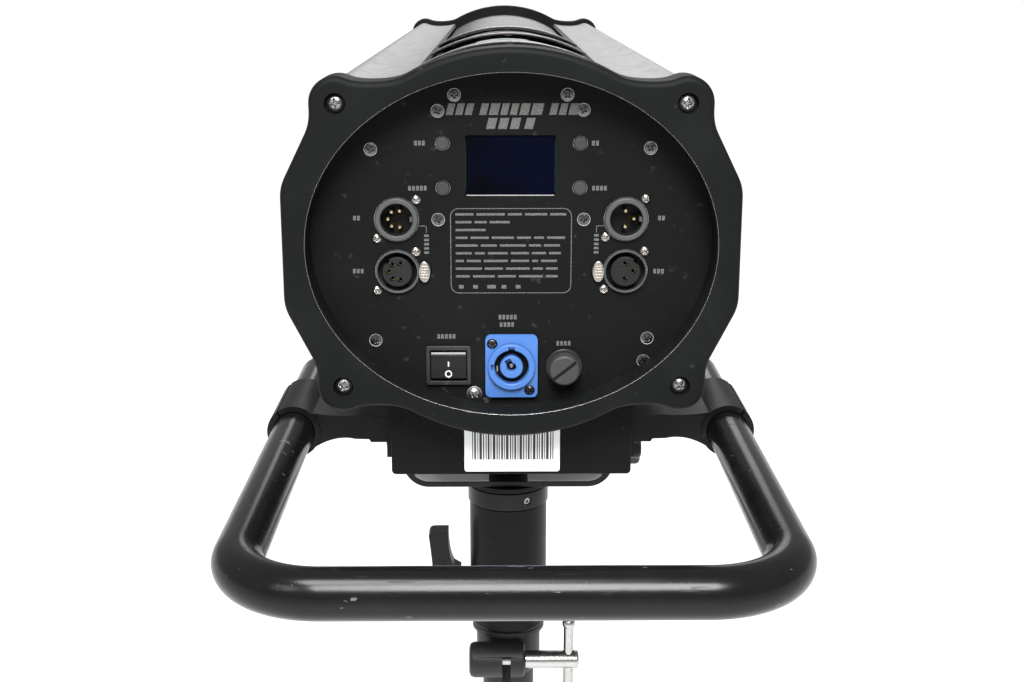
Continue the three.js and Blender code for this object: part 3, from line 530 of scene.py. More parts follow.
# ---- Side panels ----
# Two extruded aluminium sections, satin anodised, that run from bezel to bezel and carry the screw
# channels in their lobes. Their pale colour is a painted reflection of the bright surroundings at a grazing
# view. Each is creased where its flange turns in to hold the covers.
SHELL_INSET = 4.2
SIDE_WALL = 3
SIDES = ((-1, "left"), (1, "right"))
# Painted reflection: a pale base colour on the sections stands in for the bright grazing reflection on their
# faces.
side_reflection_finish = metal("side_reflection_finish", (0.20, 0.20, 0.205), 0.45, grain=(1, 60, 1), scuff=0.04, metallic=0.35,
    slot="anodised")


def side_wall(inset, start):
    """The right half of the shell's outline beyond start, from below upwards."""
    wall = [p for p in outline(inset) if p[0] > start]
    return sorted(wall, key=lambda p: atan2(p[1], p[0]))


section_start = box("side_panel_right")[0].x
section = side_wall(SHELL_INSET, section_start) + side_wall(SHELL_INSET + SIDE_WALL, section_start)[::-1]
for side, name in SIDES:
    low, high = box(f"side_panel_{name}")
    mirrored = [(side * x, z) for x, z in section]
    rings = [bezel_ring(y, mirrored) for y in (low.y, high.y)]
    piece(f"side_extrusion_{name}", loft(rings), side_reflection_finish, f"side_panel_{name}")

# ---- Top and bottom covers ----
# Rolled steel sheets between the side panels, powder coated black. The top one has a window under each
# louvre, and both slide in from the end under the flanges.
cover_paint = painted("cover_paint", 0.020, 0.36, 0.6, 0.8, 0.05)
COVER_WALL = 1.5
ARC_STEPS = 40


def cover_ring(y, radius, half, sign=1, wall=COVER_WALL):
    """A cover's section in the plane at y."""
    xs = [half * (2 * i / ARC_STEPS - 1) for i in range(ARC_STEPS + 1)]
    outside = [(x, DOME_Z + sqrt(radius**2 - x**2)) for x in xs]
    inside = [(x, DOME_Z + sqrt((radius - wall) ** 2 - x**2)) for x in xs[::-1]]
    return [Vector((x, y, LAMP_Z + sign * z)) for x, z in outside + inside]


VENTS = [f"vent_plate_{i}" for i in (1, 2, 3)]
top_low, top_high = box("top_cover")
COVER_R = top_high.z - LAMP_Z - DOME_Z
top_cover = loft([cover_ring(y, COVER_R, top_high.x) for y in (top_low.y, top_high.y)])
windows = []
for node in VENTS:
    low, high = box(node)
    window = rect(-38, 38, low.y + 8, high.y - 22)
    windows.append(slab(window, LAMP_Z + 60, LAMP_Z + 100, upright(0, 0, 0)))
cut(top_cover, together(*windows))
piece("top_sheet", top_cover, cover_paint, "top_cover")

bottom_low, bottom_high = box("bottom_cover")
UNDER_R = LAMP_Z - bottom_low.z - DOME_Z
under_rings = [cover_ring(y, UNDER_R, bottom_high.x, -1) for y in (bottom_low.y, bottom_high.y)]
piece("bottom_sheet", loft(under_rings), cover_paint, "bottom_cover")

# ---- Louvres ----
# Three pressed sheets over the top cover's windows. Each rises towards the operator to an open lip with a
# rolled edge, so that warm air leaves to the rear, and a pan-head screw holds the middle of each lip.


def spin(angle, axis="Z"):
    return Matrix.Rotation(radians(angle), 4, axis)


# Painted highlight: the louvres take a paler black than the cover's paint, so that their lips show as lit lines.
louvre_highlight_paint = painted("louvre_highlight_paint", 0.05, 0.3, 0.8, 0.8, 0.05, dust=0.5)
FLAT_R = 93.8
for node in VENTS:
    low, high = box(node)
    radius = high.z - LAMP_Z - DOME_Z
    half = high.x
    lip = [cover_ring(low.y + back, radius - drop, half, 1, wall)
        for back, drop, wall in ((0.5, 0.75, 0.3), (0, 0.45, 0.6), (0.1, 0.1, 1.1), (0.5, 0, COVER_WALL),
        (1.6, 0.03, COVER_WALL))]
    steps = 10
    slope = [cover_ring(low.y + (high.y - low.y) * (i / steps), radius + (FLAT_R - radius) * (i / steps), half)
        for i in range(1, steps + 1)]
    piece(node.replace("vent_plate", "louvre"), loft(lip + slope), louvre_highlight_paint, node)
placed = []
for node in VENTS:
    low, high = box(node)
    placed.append((upright(0, low.y + 9, high.z - 0.9) @ spin(2.2, "X"), 30))
screws("louvre_screws", screw_steel, 2.9, 0.75, placed)

# ---- Electronics box ----
# A folded steel tray under the shell that holds the power supply, coated in the same black as the covers.
# Its rear face carries a white paper label, here with plain bars only, and four screws
# hold each side.


def to_right(x, y, z):
    return Matrix(((0, 0, 1, x), (1, 0, 0, y), (0, 1, 0, z), (0, 0, 0, 1)))


def to_side(side, x, y, z):
    """Place whose own z points out to the side, -1 for left and 1 for right, x from the middle."""
    place = to_right(side * x, y, z)
    return place if side > 0 else place @ spin(180, "Y")


tray_paint = painted("tray_paint", 0.0028, 0.5, 0.08, 0.8, 0.06, dust=0.12)
tray_low, tray_high = box("electronics_box")
TRAY_WALL = 2
TRAY_TOP = tray_high.z


def mirrored(points):
    """Points from right to middle, and on to their mirror image at the left."""
    return points + [(-x, z) for x, z in points[::-1]]


def tray_outline(half, low):
    """Section of the tray, its lower corners rounded by the fold."""
    r = 2.2
    return mirrored([(half, TRAY_TOP)] + arc(half - r, low + r, r, 0, -90, 5))


tray = slab(tray_outline(tray_high.x, tray_low.z), -tray_low.y, -tray_high.y, to_operator(0, 0, 0))
core = tray_outline(tray_high.x - TRAY_WALL, tray_low.z + TRAY_WALL - 1)
hollow = slab(core, -tray_low.y - TRAY_WALL, TRAY_WALL - tray_high.y, to_operator(0, 1, 0))
shell_core = loft([bezel_ring(y, outline(SHELL_INSET - 0.3)) for y in (tray_low.y - 5, tray_high.y + 5)])
cut(tray, hollow, shell_core)
piece("electronics_tray", tray, tray_paint, "electronics_box", edge=0.5)
placed = [(to_side(sx, tray_high.x, y, LAMP_Z - 101), y) for sx in (-1, 1) for y in (-215, -90, 90, 170)]
screws("tray_screws", screw_steel, 3.0, 1.2, placed)

LABEL_HALF = 24.5
label_top = bezel_low.z + 1.5
label_bottom = tray_low.z + 1.6
label_paper = Finish("label_paper", (0.78, 0.79, 0.80), 0.55, slot="panel_paint")
fibre = label_paper.noise(0.6, 4)
label_paper.feed("Base Color", label_paper.mix(fibre * 0.3, (0.80, 0.81, 0.82), (0.62, 0.63, 0.63)))
label_paper.feed("Roughness", 0.5 + fibre * 0.15)
label_paper.bump(fibre, 0.01)
LABEL_CORNER = 1.4
label_shape = arc(LABEL_CORNER - LABEL_HALF, label_bottom + LABEL_CORNER, LABEL_CORNER, 180, 270, 6)
label_shape += arc(LABEL_HALF - LABEL_CORNER, label_bottom + LABEL_CORNER, LABEL_CORNER, 270, 360, 6)
label_shape += [(LABEL_HALF, label_top), (-LABEL_HALF, label_top)]
label = slab(label_shape, 0, 0.12, to_operator(0.4, 0, tray_low.y))
piece("paper_label", label, label_paper, edge=0.05)
bar_ink = Finish("bar_ink", 0.02, 0.6, slot="black_paint")
bar_ink.feed("Roughness", 0.55 + bar_ink.noise(0.8, 2) * 0.15)
bars = []
x = -LABEL_HALF + 4
widths = (0.5, 0.9, 0.4, 1.3, 0.6)
for i in range(31):
    width = widths[i % 5]
    shape = rect(x, x + width, label_bottom + 6.5, label_top)
    bars.append(slab(shape, 0.1, 0.15, to_operator(0.4, 0, tray_low.y)))
    x += width + (0.55, 0.75, 0.6)[i % 3]
piece("label_bars", together(*bars), bar_ink)

# ---- Tilt bracket ----
# A folded steel saddle bolted under the tray. Its two ears hang inside the yoke's arms and turn on the pivot
# bolts, and it is coated black.
saddle_low, saddle_high = box("tilt_bracket")
EAR_R = 17
TILT_Z = saddle_low.z + EAR_R
top = saddle_high.z
ear = [(60, top), (60, top - 8), (EAR_R, TILT_Z + 6)] + arc(0, TILT_Z, EAR_R, 0, -180, 20)
ear += [(-EAR_R, TILT_Z + 6), (-60, top - 8), (-60, top)]
saddle = slab(ear, saddle_low.x, saddle_high.x, to_right(0, 0, 0))
inner_half = saddle_high.x - 4
middle = slab(rect(-inner_half, inner_half, -90, 90), TILT_Z - 40, top - 4, upright(0, 0, 0))
cut(saddle, middle, rod(6.3, -80, 80, to_right(0, 0, TILT_Z)))
piece("tilt_saddle", saddle, tray_paint, "tilt_bracket", edge=0.6)
saddle_bolts = []
for sx in (-1, 1):
    for sy in (-1, 1):
        at = Matrix.Translation((sx * 42, sy * 45, top - 4)) @ spin(180, "X")
        head = rod(4.6, 0, 3.6, at)
        saddle_bolts.append(cut(head, slab(arc(0, 0, 2.5, 0, 300, 5), 1.4, 5, at)))
piece("saddle_bolts", together(*saddle_bolts), screw_steel, edge=0.3)

# ---- Handle brackets ----
# Two cast black arms screwed to the tray's sides. Each ends in a split collar that grips the handle's leg,
# pinched by two socket-head screws.


def fused(part, *others):
    return cut(part, *others, operation="UNION")


collar_paint = painted("collar_paint", 0.003, 0.42, 0.14, 0.7, 0.05, dust=0.15)
HANDLE_X, HANDLE_Z = 114.6, LAMP_Z - 107
COLLAR_R, BORE_R, FOOT_THICK = 14, 11.1, 3.7
for side, name in SIDES:
    low, high = box(f"handle_bracket_{name}")
    wall = tray_high.x + 0.3
    web = [(wall, -100), (wall, -113), (74, -113), (75, -111.4), (82, -111.2)]
    web += curve([(82, -111.2), (93, -108.5), (105, -116.5)], 10) + [(HANDLE_X, -112), (HANDLE_X, -100),
        (104, -97)]
    web += curve([(104, -97), (92, -99), (80, -98)], 10)
    axis_at = to_operator(0, LAMP_Z, 0)
    arm = slab([(side * x, z) for x, z in web], -high.y + 1, -low.y - 1, axis_at)
    foot_shape = [(side * x, z) for x, z in rect(wall, wall + FOOT_THICK, -121, -84)]
    foot = slab(foot_shape, -high.y, -low.y, axis_at)
    at = to_operator(side * HANDLE_X, HANDLE_Z, 0)
    collar = rod(COLLAR_R, -high.y, -low.y, at, 72)
    bore = rod(BORE_R, -high.y - 2, -low.y + 2, at, 72)
    split_shape = rect(-0.6, 0.6, 8, 20)
    split = slab(split_shape, -high.y - 2, -low.y + 2, at @ spin(-38 * side))
    bracket = cut(fused(arm, collar, foot), bore, split)
    piece(f"handle_arm_{name}", bracket, collar_paint, f"handle_bracket_{name}", edge=0.7)
    places = [(y, z) for y in (low.y + 14, high.y - 14) for z in (LAMP_Z - 90, LAMP_Z - 117)]
    placed = [(to_side(side, wall + FOOT_THICK, y, z), 25 + y) for y, z in places]
    screws(f"handle_arm_screws_{name}", screw_steel, 3.4, 1.6, placed)

# ---- Handle ----
# One steel tube bent into a U, in smooth black enamel that shows a few scuffs on its crossbar. It slides in
# the collars, and a plastic plug closes each front end.
handle_low, handle_high = box("handle")
TUBE_R = (handle_high.z - handle_low.z) / 2
BEND_R = 38
CROSS_Y = handle_low.y + TUBE_R
handle_paint = Finish("handle_paint", 0.003, 0.2, gloss=0.2, slot="black_satin")
haze = handle_paint.noise(22, 4)
chips = handle_paint.step(handle_paint.noise(3.2, 4, (3, 1, 1)), 0.69, 0.73)
streaks = handle_paint.step(handle_paint.noise(2.4, 3, (9, 1, 1)), 0.64, 0.72)
handle_dust = handle_paint.mix(haze * 0.3 + streaks * 0.2, 0.003, 0.012)
handle_paint.feed("Base Color", handle_paint.mix(chips * 0.7, handle_dust, (0.14, 0.135, 0.13)))
handle_paint.feed("Roughness", 0.17 + haze * 0.1 + streaks * 0.12 + chips * 0.2)
handle_paint.bump(handle_paint.noise(1.6, 2), 0.02)


def handle_path():
    """Centre line from one front end round to the other."""
    straight = HANDLE_X - BEND_R
    turn_y = CROSS_Y + BEND_R
    right = arc(straight, turn_y, BEND_R, 0, -90, 20)
    left = [(-x, y) for x, y in right[::-1]]
    return [(HANDLE_X, handle_high.y - 2)] + right + left + [(-HANDLE_X, handle_high.y - 2)]


def tube(path, radius, z, sides=48):
    rings = []
    for i, (x, y) in enumerate(path):
        xa, ya = path[max(i - 1, 0)]
        xb, yb = path[min(i + 1, len(path) - 1)]
        along = Vector((xb - xa, yb - ya, 0)).normalized()
        across = Vector((along.y, -along.x, 0))
        rings.append([Vector((x, y, z)) + across * a + Vector((0, 0, b)) for a, b in circle(radius, sides)])
    return loft(rings)


piece("handle_tube", tube(handle_path(), TUBE_R, HANDLE_Z), handle_paint, "handle", body="handle")
plug_skin = painted("plug_skin", 0.02, 0.6, 0.4, 0.5, 0.04, slot="black_plastic")
plugs = [turned([(0, -1), (TUBE_R - 0.8, -1), (TUBE_R - 0.8, 0), (TUBE_R - 0.4, 0.2), (TUBE_R - 0.6, 1.2),
    (8, 1.9), (0, 2)], to_beam(sx * HANDLE_X, HANDLE_Z, handle_high.y - 2)) for sx in (-1, 1)]
piece("handle_plugs", together(*plugs), plug_skin, body="handle")

# ---- Rear panel ----
# A flat aluminium plate behind the bezel's opening, finished in fine matt black and then cut for the sockets,
# keys and window, so the cut edges are bare. Countersunk screws hold it to the frame inside.
panel_paint = painted("panel_paint", (0.0046, 0.0048, 0.0048), 0.5, 0.05, 0.35, 0.03, dust=0.12,
    slot="panel_paint")
bare_edge = metal("bare_edge", 0.40, 0.35, metallic=0.3)
panel_low, panel_high = box("rear_panel")
SOCKET_X, MALE_Z, FEMALE_Z = 56, 11.2, -14.6
SOCKET_HOLE = 10.95
KEYS = {"escape": (-33.2, 48.1), "enter": (-33.2, 26.6), "up": (33.2, 48.1), "down": (33.2, 26.6)}
KEY_HOLE = 3.55
PANEL_SCREWS = [(-67.9, 45.3), (67.1, 45.8), (-35.4, 63.6), (-27.3, 71.1), (34.6, 64.1), (26.8, 71.2),
    (-35.7, 11.1), (35.3, 11.1), (-67.5, -49.5), (67.6, -48.7), (65.9, -60.4)]


def on_panel(x, z):
    """Place on the panel's face, x across and z up from the lamp's axis."""
    return to_operator(x, LAMP_Z + z, PANEL_Y)


def rounded(width, height, r, steps=5):
    half_w, half_h = width / 2 - r, height / 2 - r
    corners = ((half_w, -half_h, -90), (half_w, half_h, 0), (-half_w, half_h, 90), (-half_w, -half_h, 180))
    return [p for cx, cy, start in corners for p in arc(cx, cy, r, start, start + 90, steps)]


def panel_box(node):
    """Place of a node's middle on the panel's face, its width and height, and how far it stands proud."""
    low, high = box(node)
    place = on_panel((low.x + high.x) / 2, (low.z + high.z) / 2 - LAMP_Z)
    return place, high.x - low.x, high.z - low.z, PANEL_Y - low.y


window_at, window_w, window_h, _ = panel_box("display_window")
WINDOW_W, WINDOW_H = window_w + 0.6, window_h + 0.6
socket_places = [(sx * SOCKET_X, z) for sx in (-1, 1) for z in (MALE_Z, FEMALE_Z)]
plate_edge = opening_ring(3)
plate = loft([bezel_ring(y, plate_edge) for y in (panel_low.y, panel_high.y)])
holes = [rod(SOCKET_HOLE, -4, 4, on_panel(x, z)) for x, z in socket_places]
holes += [rod(KEY_HOLE, -4, 4, on_panel(x, z)) for x, z in KEYS.values()]
holes += [turned([(0, -1.6), (1.6, -1.6), (3.5, 0.3), (0, 0.3)], on_panel(x, z)) for x, z in PANEL_SCREWS]
holes.append(slab(rounded(WINDOW_W, WINDOW_H, 1), -4, 4, window_at))
cut(plate, together(*holes))
latch_holes = [slab(oval(3.5, 5.8, 32), -4, 4, on_panel(sx * (SOCKET_X - 13.3), FEMALE_Z)) for sx in (-1, 1)]
cut(plate, together(*latch_holes))
piece("panel_plate", plate, panel_paint, "rear_panel")

LINER = 0.12
lined = [(p, KEY_HOLE) for p in KEYS.values()] + [(p, SOCKET_HOLE) for p in socket_places]
liners = []
for (x, z), radius in lined:
    out, inner = circle(radius), circle(radius - LINER)
    liners.append(stack(on_panel(x, z), ((out, -LINER), (out, -0.8), (inner, -0.8), (inner, -LINER)), True))
sinks = [turned([(3.05, 0.0), (3.35, 0.0), (2.95, -0.5), (2.85, -0.5)], on_panel(x, z))
    for x, z in PANEL_SCREWS]
piece("panel_bare_edges", together(*liners, *sinks), bare_edge)
lip_shape = ((0.1, 0.8), (0.3, 0.28), (0.66, 0.04), (0.7, 0.3), (0.34, 0.8))
lip_line = loft([bezel_ring(REAR_Y + back, opening_ring(grow)) for grow, back in lip_shape], closed=True)
piece("bezel_bare_edge", lip_line, bare_edge)

dark_screw_steel = metal("dark_screw_steel", 0.12, 0.22)
placed = [(on_panel(x, z), 17 + 23 * i) for i, (x, z) in enumerate(PANEL_SCREWS)]
screws("panel_screws", dark_screw_steel, 2.85, 0.35, placed, sunk=0.25)
EARTH_SCREW = (-18.6, -77.2)
earth_at = on_panel(*EARTH_SCREW)
washer = turned([(0, 0), (3.9, 0), (3.9, 0.5), (3.2, 0.7), (0, 0.7)], earth_at, 18)
piece("earth_screw", together(washer, cross_screw(3.2, 1.5, earth_at @ upright(0, 0, 1.2), 33)), screw_steel,
    edge=0.12, angle=60)

# ---- Silk-screened marks ----
# Pale ink on the panel: a thin rounded frame with rows of plain bars in it, slanted blocks over the window, and
# small blocks by the keys and sockets. There is no lettering, only an earth sign by its screw.
ink = Finish("panel_ink", (0.10, 0.104, 0.098), 0.6, gloss=0.2, slot="panel_paint")
speckle = ink.noise(0.5, 3)
ink.feed("Base Color", ink.mix(ink.step(speckle, 0.42, 0.62), (0.055, 0.057, 0.054), (0.12, 0.124, 0.117)))
ink.feed("Roughness", 0.5 + speckle * 0.2)
INK = 0.05
marks = []


def mark(x0, x1, z0, z1, slant=0.0):
    lean = (z1 - z0) * slant
    marks.append(slab([(x0, z0), (x1, z0), (x1 + lean, z1), (x0 + lean, z1)], 0.01, INK, on_panel(0, 0)))


FRAME_LEFT, FRAME_TOP, FRAME_RIGHT, FRAME_LOW = -29.9, 16.7, 29.5, -25.7
frame_at = on_panel((FRAME_LEFT + FRAME_RIGHT) / 2, (FRAME_TOP + FRAME_LOW) / 2)
frame_w, frame_h = FRAME_RIGHT - FRAME_LEFT, FRAME_TOP - FRAME_LOW
outside, inside = rounded(frame_w, frame_h, 4), rounded(frame_w - 0.8, frame_h - 0.8, 3.6)
marks.append(stack(frame_at, ((outside, 0.01), (outside, INK), (inside, INK), (inside, 0.01)), True))
row_words = [(9, 14, 7, 11, 8), (8, 6, 10), (15,), (6, 9, 11, 7, 5, 9), (11, 8, 13, 6, 8), (8, 5, 10, 9, 7, 6),
    (4, 7, 12, 9, 3, 8), (13, 9, 12, 5, 6), (7, 11, 9, 12, 6)]
for row, words in enumerate(row_words):
    z = FRAME_TOP - 3.6 - row * 3.85
    x = FRAME_LEFT + 2.6
    for word in words:
        width = word * 0.98
        if x + width < FRAME_RIGHT - 2.4:
            mark(x, x + width, z, z + 1.15)
        x += width + 1.5
for i, width in enumerate((2.4, 2.4, 4.2, 2.4, 2.4)):
    mark(FRAME_LEFT + 4 + i * 7, FRAME_LEFT + 4 + i * 7 + width, FRAME_LOW + 2.4, FRAME_LOW + 4.2)
x = -31.5
for width in (4.3, 4.3, 4.3, 0, 4.3, 5.2, 4.3, 4.3, 5.2, 6.2, 0, 4.3, 4.3, 5.2):
    if width:
        mark(x, x + width - 0.9, 61.7, 67.2, 0.25)
    x += (width or 2.2) + 0.25
for i in range(4):
    left = -12.2 + i * 5.7 + (1.2 if i == 3 else 0)
    mark(left, left + 4.2, 55.0, 60.3, 0.25)


def blocks(x, z, count, width=1.35, height=2.3):
    """A short row of plain blocks centred on x, z."""
    pitch = width + 0.55
    for i in range(count):
        left = x + (i - count / 2) * pitch
        mark(left, left + width, z - height / 2, z + height / 2)


for x, z, count in ((-75.2, 11.9, 2), (-75, -14.4, 3), (73.5, 11.7, 2), (72.7, -14.7, 3), (-44, 48.3, 3),
        (-45.3, 26.5, 5), (40.7, 48.2, 2), (43, 26.4, 4), (-32.1, -47.6, 5), (-1.6, -37.8, 5), (-2, -41.6, 4),
        (26.2, -51.3, 4)):
    blocks(x, z, count)
for sx in (-1, 1):
    mark(*sorted((sx * 41.4, sx * 45.1)), 7.8, 8.15)
    mark(*sorted((sx * 41.4, sx * 41.75)), 4.6, 8.15)
    for i in range(5):
        mark(*sorted((sx * 40.4, sx * 42.7)), 2.6 - i * 2.1, 3.8 - i * 2.1)
for i, half in enumerate((2.1, 1.4, 0.7)):
    mark(-12.3 - half, -12.3 + half, -80.0 - i * 0.9, -79.6 - i * 0.9)
mark(-12.45, -12.15, -79.6, -78.3)
piece("panel_marks", together(*marks), ink)

# ---- Data sockets ----
# Four round panel sockets, five-pole at the left and three-pole at the right, in and out. The shells are grey
# nylon with gold pins or sprung contacts, and two pan screws hold each square flange from the front.
shell_nylon = painted("shell_nylon", (0.042, 0.044, 0.044), 0.5, 0.4, 0.3, 0.02, dust=0.2, slot="grey_plastic")
insert_nylon = painted("insert_nylon", (0.007, 0.0072, 0.0072), 0.55, 0.2, 0.3, 0.03, dust=0.2,
    slot="black_plastic")
gold = metal("gold_pins", (0.52, 0.42, 0.22), 0.28)
SHELL_R = 10.6
SHELL_PROUD = 2.2
POLES = {-1: (70, 126, 180, 234, 290), 1: (93, 0, -95)}
POLE_CIRCLE = {-1: 4.25, 1: 3.9}


def pole_places(side, at):
    return [at @ upright(*arc(0, 0, POLE_CIRCLE[side], a, a, 1)[0], 0) for a in POLES[side]]


for side, name in SIDES:
    at = on_panel(side * SOCKET_X, MALE_Z)
    cup = turned([(8.0, SHELL_PROUD - 0.35), (8.3, SHELL_PROUD), (10.0, SHELL_PROUD),
        (SHELL_R, SHELL_PROUD - 0.6), (SHELL_R, -14), (0, -14), (0, -10), (7.8, -10)], at, 72)
    key = slab(rect(-1.2, 1.2, -8.2, -6.4), -10, 0.5, at @ spin(90))
    piece(f"socket_in_{name}", together(cup, key), shell_nylon, f"dmx_in_{name}", edge=0.15)
    lining = turned([(7.95, SHELL_PROUD - 0.9), (7.95, -9.9), (0, -9.9), (0, -9.7), (7.75, -9.7),
        (7.75, SHELL_PROUD - 0.9)], at, 72)
    piece(f"socket_in_lining_{name}", lining, insert_nylon)
    pins = [turned([(0, -10), (1.05, -10), (1.05, -1.6), (0.7, -0.9), (0, -0.7)], p, 20)
        for p in pole_places(side, at)]
    piece(f"socket_pins_{name}", together(*pins), gold)

    at = on_panel(side * SOCKET_X, FEMALE_Z)
    rim = turned([(9.75, SHELL_PROUD - 0.25), (9.95, SHELL_PROUD), (10.35, SHELL_PROUD),
        (SHELL_R, SHELL_PROUD - 0.3), (SHELL_R, -8), (9.75, -8)], at, 72)
    piece(f"socket_out_rim_{name}", rim, shell_nylon, f"dmx_out_{name}")
    plug = turned([(0, -8), (9.75, -8), (9.75, -6), (7.35, -6), (7.35, 1.5), (7.0, 1.85), (0, 1.85)], at, 72)
    contact_holes = [rod(1.35, -6, 3, p, 24) for p in pole_places(side, at)]
    cut(plug, together(*contact_holes))
    notch = slab(rect(-1.3, 1.3, 6.3, 8), -5, 3, at @ spin(-side * 45))
    cut(plug, notch)
    piece(f"socket_out_insert_{name}", plug, insert_nylon, slot="grey_plastic", edge=0.12)
    contacts = [turned(rect(0.95, 1.25, -5.4, -1.4), p, 20) for p in pole_places(side, at)]
    piece(f"socket_contacts_{name}", together(*contacts), gold)

pan_screw_steel = metal("pan_screw_steel", (0.42, 0.39, 0.36), 0.24)
FLANGE_SCREWS = [(-46.4, 20.9), (-65.9, 1.8), (-46.8, -4.9), (-66.2, -24.3), (65.4, 21.2), (46.1, 2.3),
    (65.4, -4.8), (45.7, -23.8)]
placed = [(on_panel(x, z) @ upright(0, 0, 0.5), 50 + 19 * i) for i, (x, z) in enumerate(FLANGE_SCREWS)]
screws("socket_screws", pan_screw_steel, 2.35, 1.1, placed)

# ---- Socket latches ----
# An oval push tab of nickel-plated zinc beside each outgoing socket, ribbed for the thumb. Pressing it in frees
# the plug.
nickel = metal("latch_nickel", (0.40, 0.37, 0.34), 0.36, scuff=0.45)


for side, name in SIDES:
    at, width, height, proud = panel_box(f"dmx_latch_{name}")
    levels = ((0, -7.9), (0, proud - 1.3), (0.12, proud - 0.8), (0.45, proud - 0.45), (0.9, proud - 0.32))
    tab = stack(at, [(oval(width / 2 - inset, height / 2 - inset), h) for inset, h in levels])
    ribs = [slab(rounded(3.6, 0.55, 0.25, 3), proud - 0.5, proud, at @ upright(0, z, 0))
        for z in (-2.8, -1.4, 0, 1.4, 2.8)]
    piece(f"latch_tab_{name}", together(tab, *ribs), nickel, f"dmx_latch_{name}", body=f"latch_{name}",
        edge=0.1)

# ---- Display window and keys ----
# A tinted acrylic window sits just behind the plate, and four moulded grey keys stand in round holes beside it.
# The window is off, so it shows near-black navy.
window_tint = Finish("window_tint", (0.0012, 0.0016, 0.006), 0.07, gloss=0.04, slot="dark_glass")
glow = window_tint.noise(26, 2, (1.6, 1, 1))
window_tint.feed("Base Color", window_tint.mix(window_tint.step(glow, 0.42, 0.66), (0.0004, 0.0005, 0.0013),
    (0.0005, 0.0009, 0.006)))
window_tint.feed("Roughness", 0.06 + window_tint.noise(3, 4) * 0.06)
window = slab(rounded(WINDOW_W - 0.7, WINDOW_H - 0.7, 0.9), -2.9, -0.95, window_at)
sill = slab(rect(-WINDOW_W / 2 + 0.6, WINDOW_W / 2 - 0.6, 0, 0.4), -0.94, -0.5, window_at
    @ upright(0, 0.1 - WINDOW_H / 2, 0))
piece("window_sill", sill, bare_edge)
piece("window_pane", window, window_tint, "display_window", edge=0.2)

key_rubber = painted("key_rubber", (0.026, 0.027, 0.027), 0.6, 0.2, 0.3, 0.03, dust=0.3, slot="grey_plastic")
for key, (x, z) in KEYS.items():
    cap = turned([(0, -4.4), (4.3, -4.4), (4.3, -2.9), (3.1, -2.9), (3.1, 0.8), (2.95, 1.15), (2.6, 1.28),
        (1.6, 1.18), (0, 1.12)], on_panel(x, z))
    piece(f"key_{key}", cap, key_rubber, f"button_{key}", body=f"button_{key}")

# ---- Mains inlet ----
# A locking mains inlet moulded in bright blue: square flange with two black screws, a raised round collar, and
# inside it the annular groove, its two key slots and the centre boss with its contact.
blue_nylon = Finish("blue_nylon", (0.04, 0.11, 0.33), 0.4, gloss=0.3, slot="blue_plastic")
blue_cloud = blue_nylon.noise(7, 3)
blue_grain = blue_nylon.noise(0.35, 2)
blue_nylon.feed("Base Color", blue_nylon.mix(blue_cloud * 0.5 + blue_grain * 0.2, (0.052, 0.14, 0.38),
    (0.032, 0.09, 0.27)))
blue_nylon.feed("Roughness", 0.34 + blue_cloud * 0.14 + blue_grain * 0.06)
blue_nylon.bump(blue_grain, 0.02)
inlet_at, inlet_w, inlet_h, inlet_proud = panel_box("power_inlet")
COLLAR_TOP = inlet_proud - 0.3
flange = slab(rounded(inlet_w, inlet_h, 2.6), 0.3, 2.7, inlet_at)
cut(flange, rod(8.7, -2, 5, inlet_at, 72))
collar_ring = turned([(8.7, 2.0), (11.7, 2.0), (11.7, COLLAR_TOP - 0.4), (11.3, COLLAR_TOP), (9.1, COLLAR_TOP),
    (8.7, COLLAR_TOP - 0.4)], inlet_at, 72)
well = turned([(0, -12), (8.7, -12), (8.7, 2.2), (8.5, 2.2), (8.5, -9), (0, -9)], inlet_at, 72)
boss = turned([(2.3, -8), (2.3, COLLAR_TOP - 0.6), (2.6, COLLAR_TOP - 0.2), (5.3, COLLAR_TOP - 0.2),
    (5.7, COLLAR_TOP - 0.6), (5.7, -9.5), (2.3, -9.5)], inlet_at, 64)
slot_cut = [slab(rect(-1.6, 1.6, 7.5, 10.4), -2, 8, inlet_at @ spin(turn)) for turn in (0, 90)]
cut(collar_ring, *slot_cut)
contact_cut = slab([(-1.9, 0), (1.9, 0), (1.5, 4.6), (-1.5, 4.6)], 1.0, 8, inlet_at @ spin(28))
cut(boss, contact_cut)
INLET_SCREWS = ((-9.6, -51), (9.0, -75))
inlet_holes = [rod(2.7, 1.2, 4, on_panel(*p), 32) for p in INLET_SCREWS]
cut(flange, together(*inlet_holes))
line = turned(rect(11.95, 12.3, 2.69, 2.9), inlet_at, 72)
piece("inlet_body", together(flange, collar_ring, well, boss, line), blue_nylon, "power_inlet", edge=0.3)
black_screw = metal("black_screw", (0.06, 0.06, 0.062), 0.35)
placed = [(on_panel(*p) @ upright(0, 0, 1.7), 60 * i) for i, p in enumerate(INLET_SCREWS)]
screws("inlet_screws", black_screw, 2.5, 0.9, placed)
contact = turned([(0, -8), (1.5, -8), (1.5, -0.5), (1.1, 0.2), (0, 0.4)], inlet_at @ upright(0, -0.2, 0), 24)
blades = slab(rounded(0.7, 3.0, 0.3, 3), -9, 1.2, inlet_at @ upright(-7.1, -1.6, 0))
piece("inlet_contacts", together(contact, blades), pan_screw_steel)

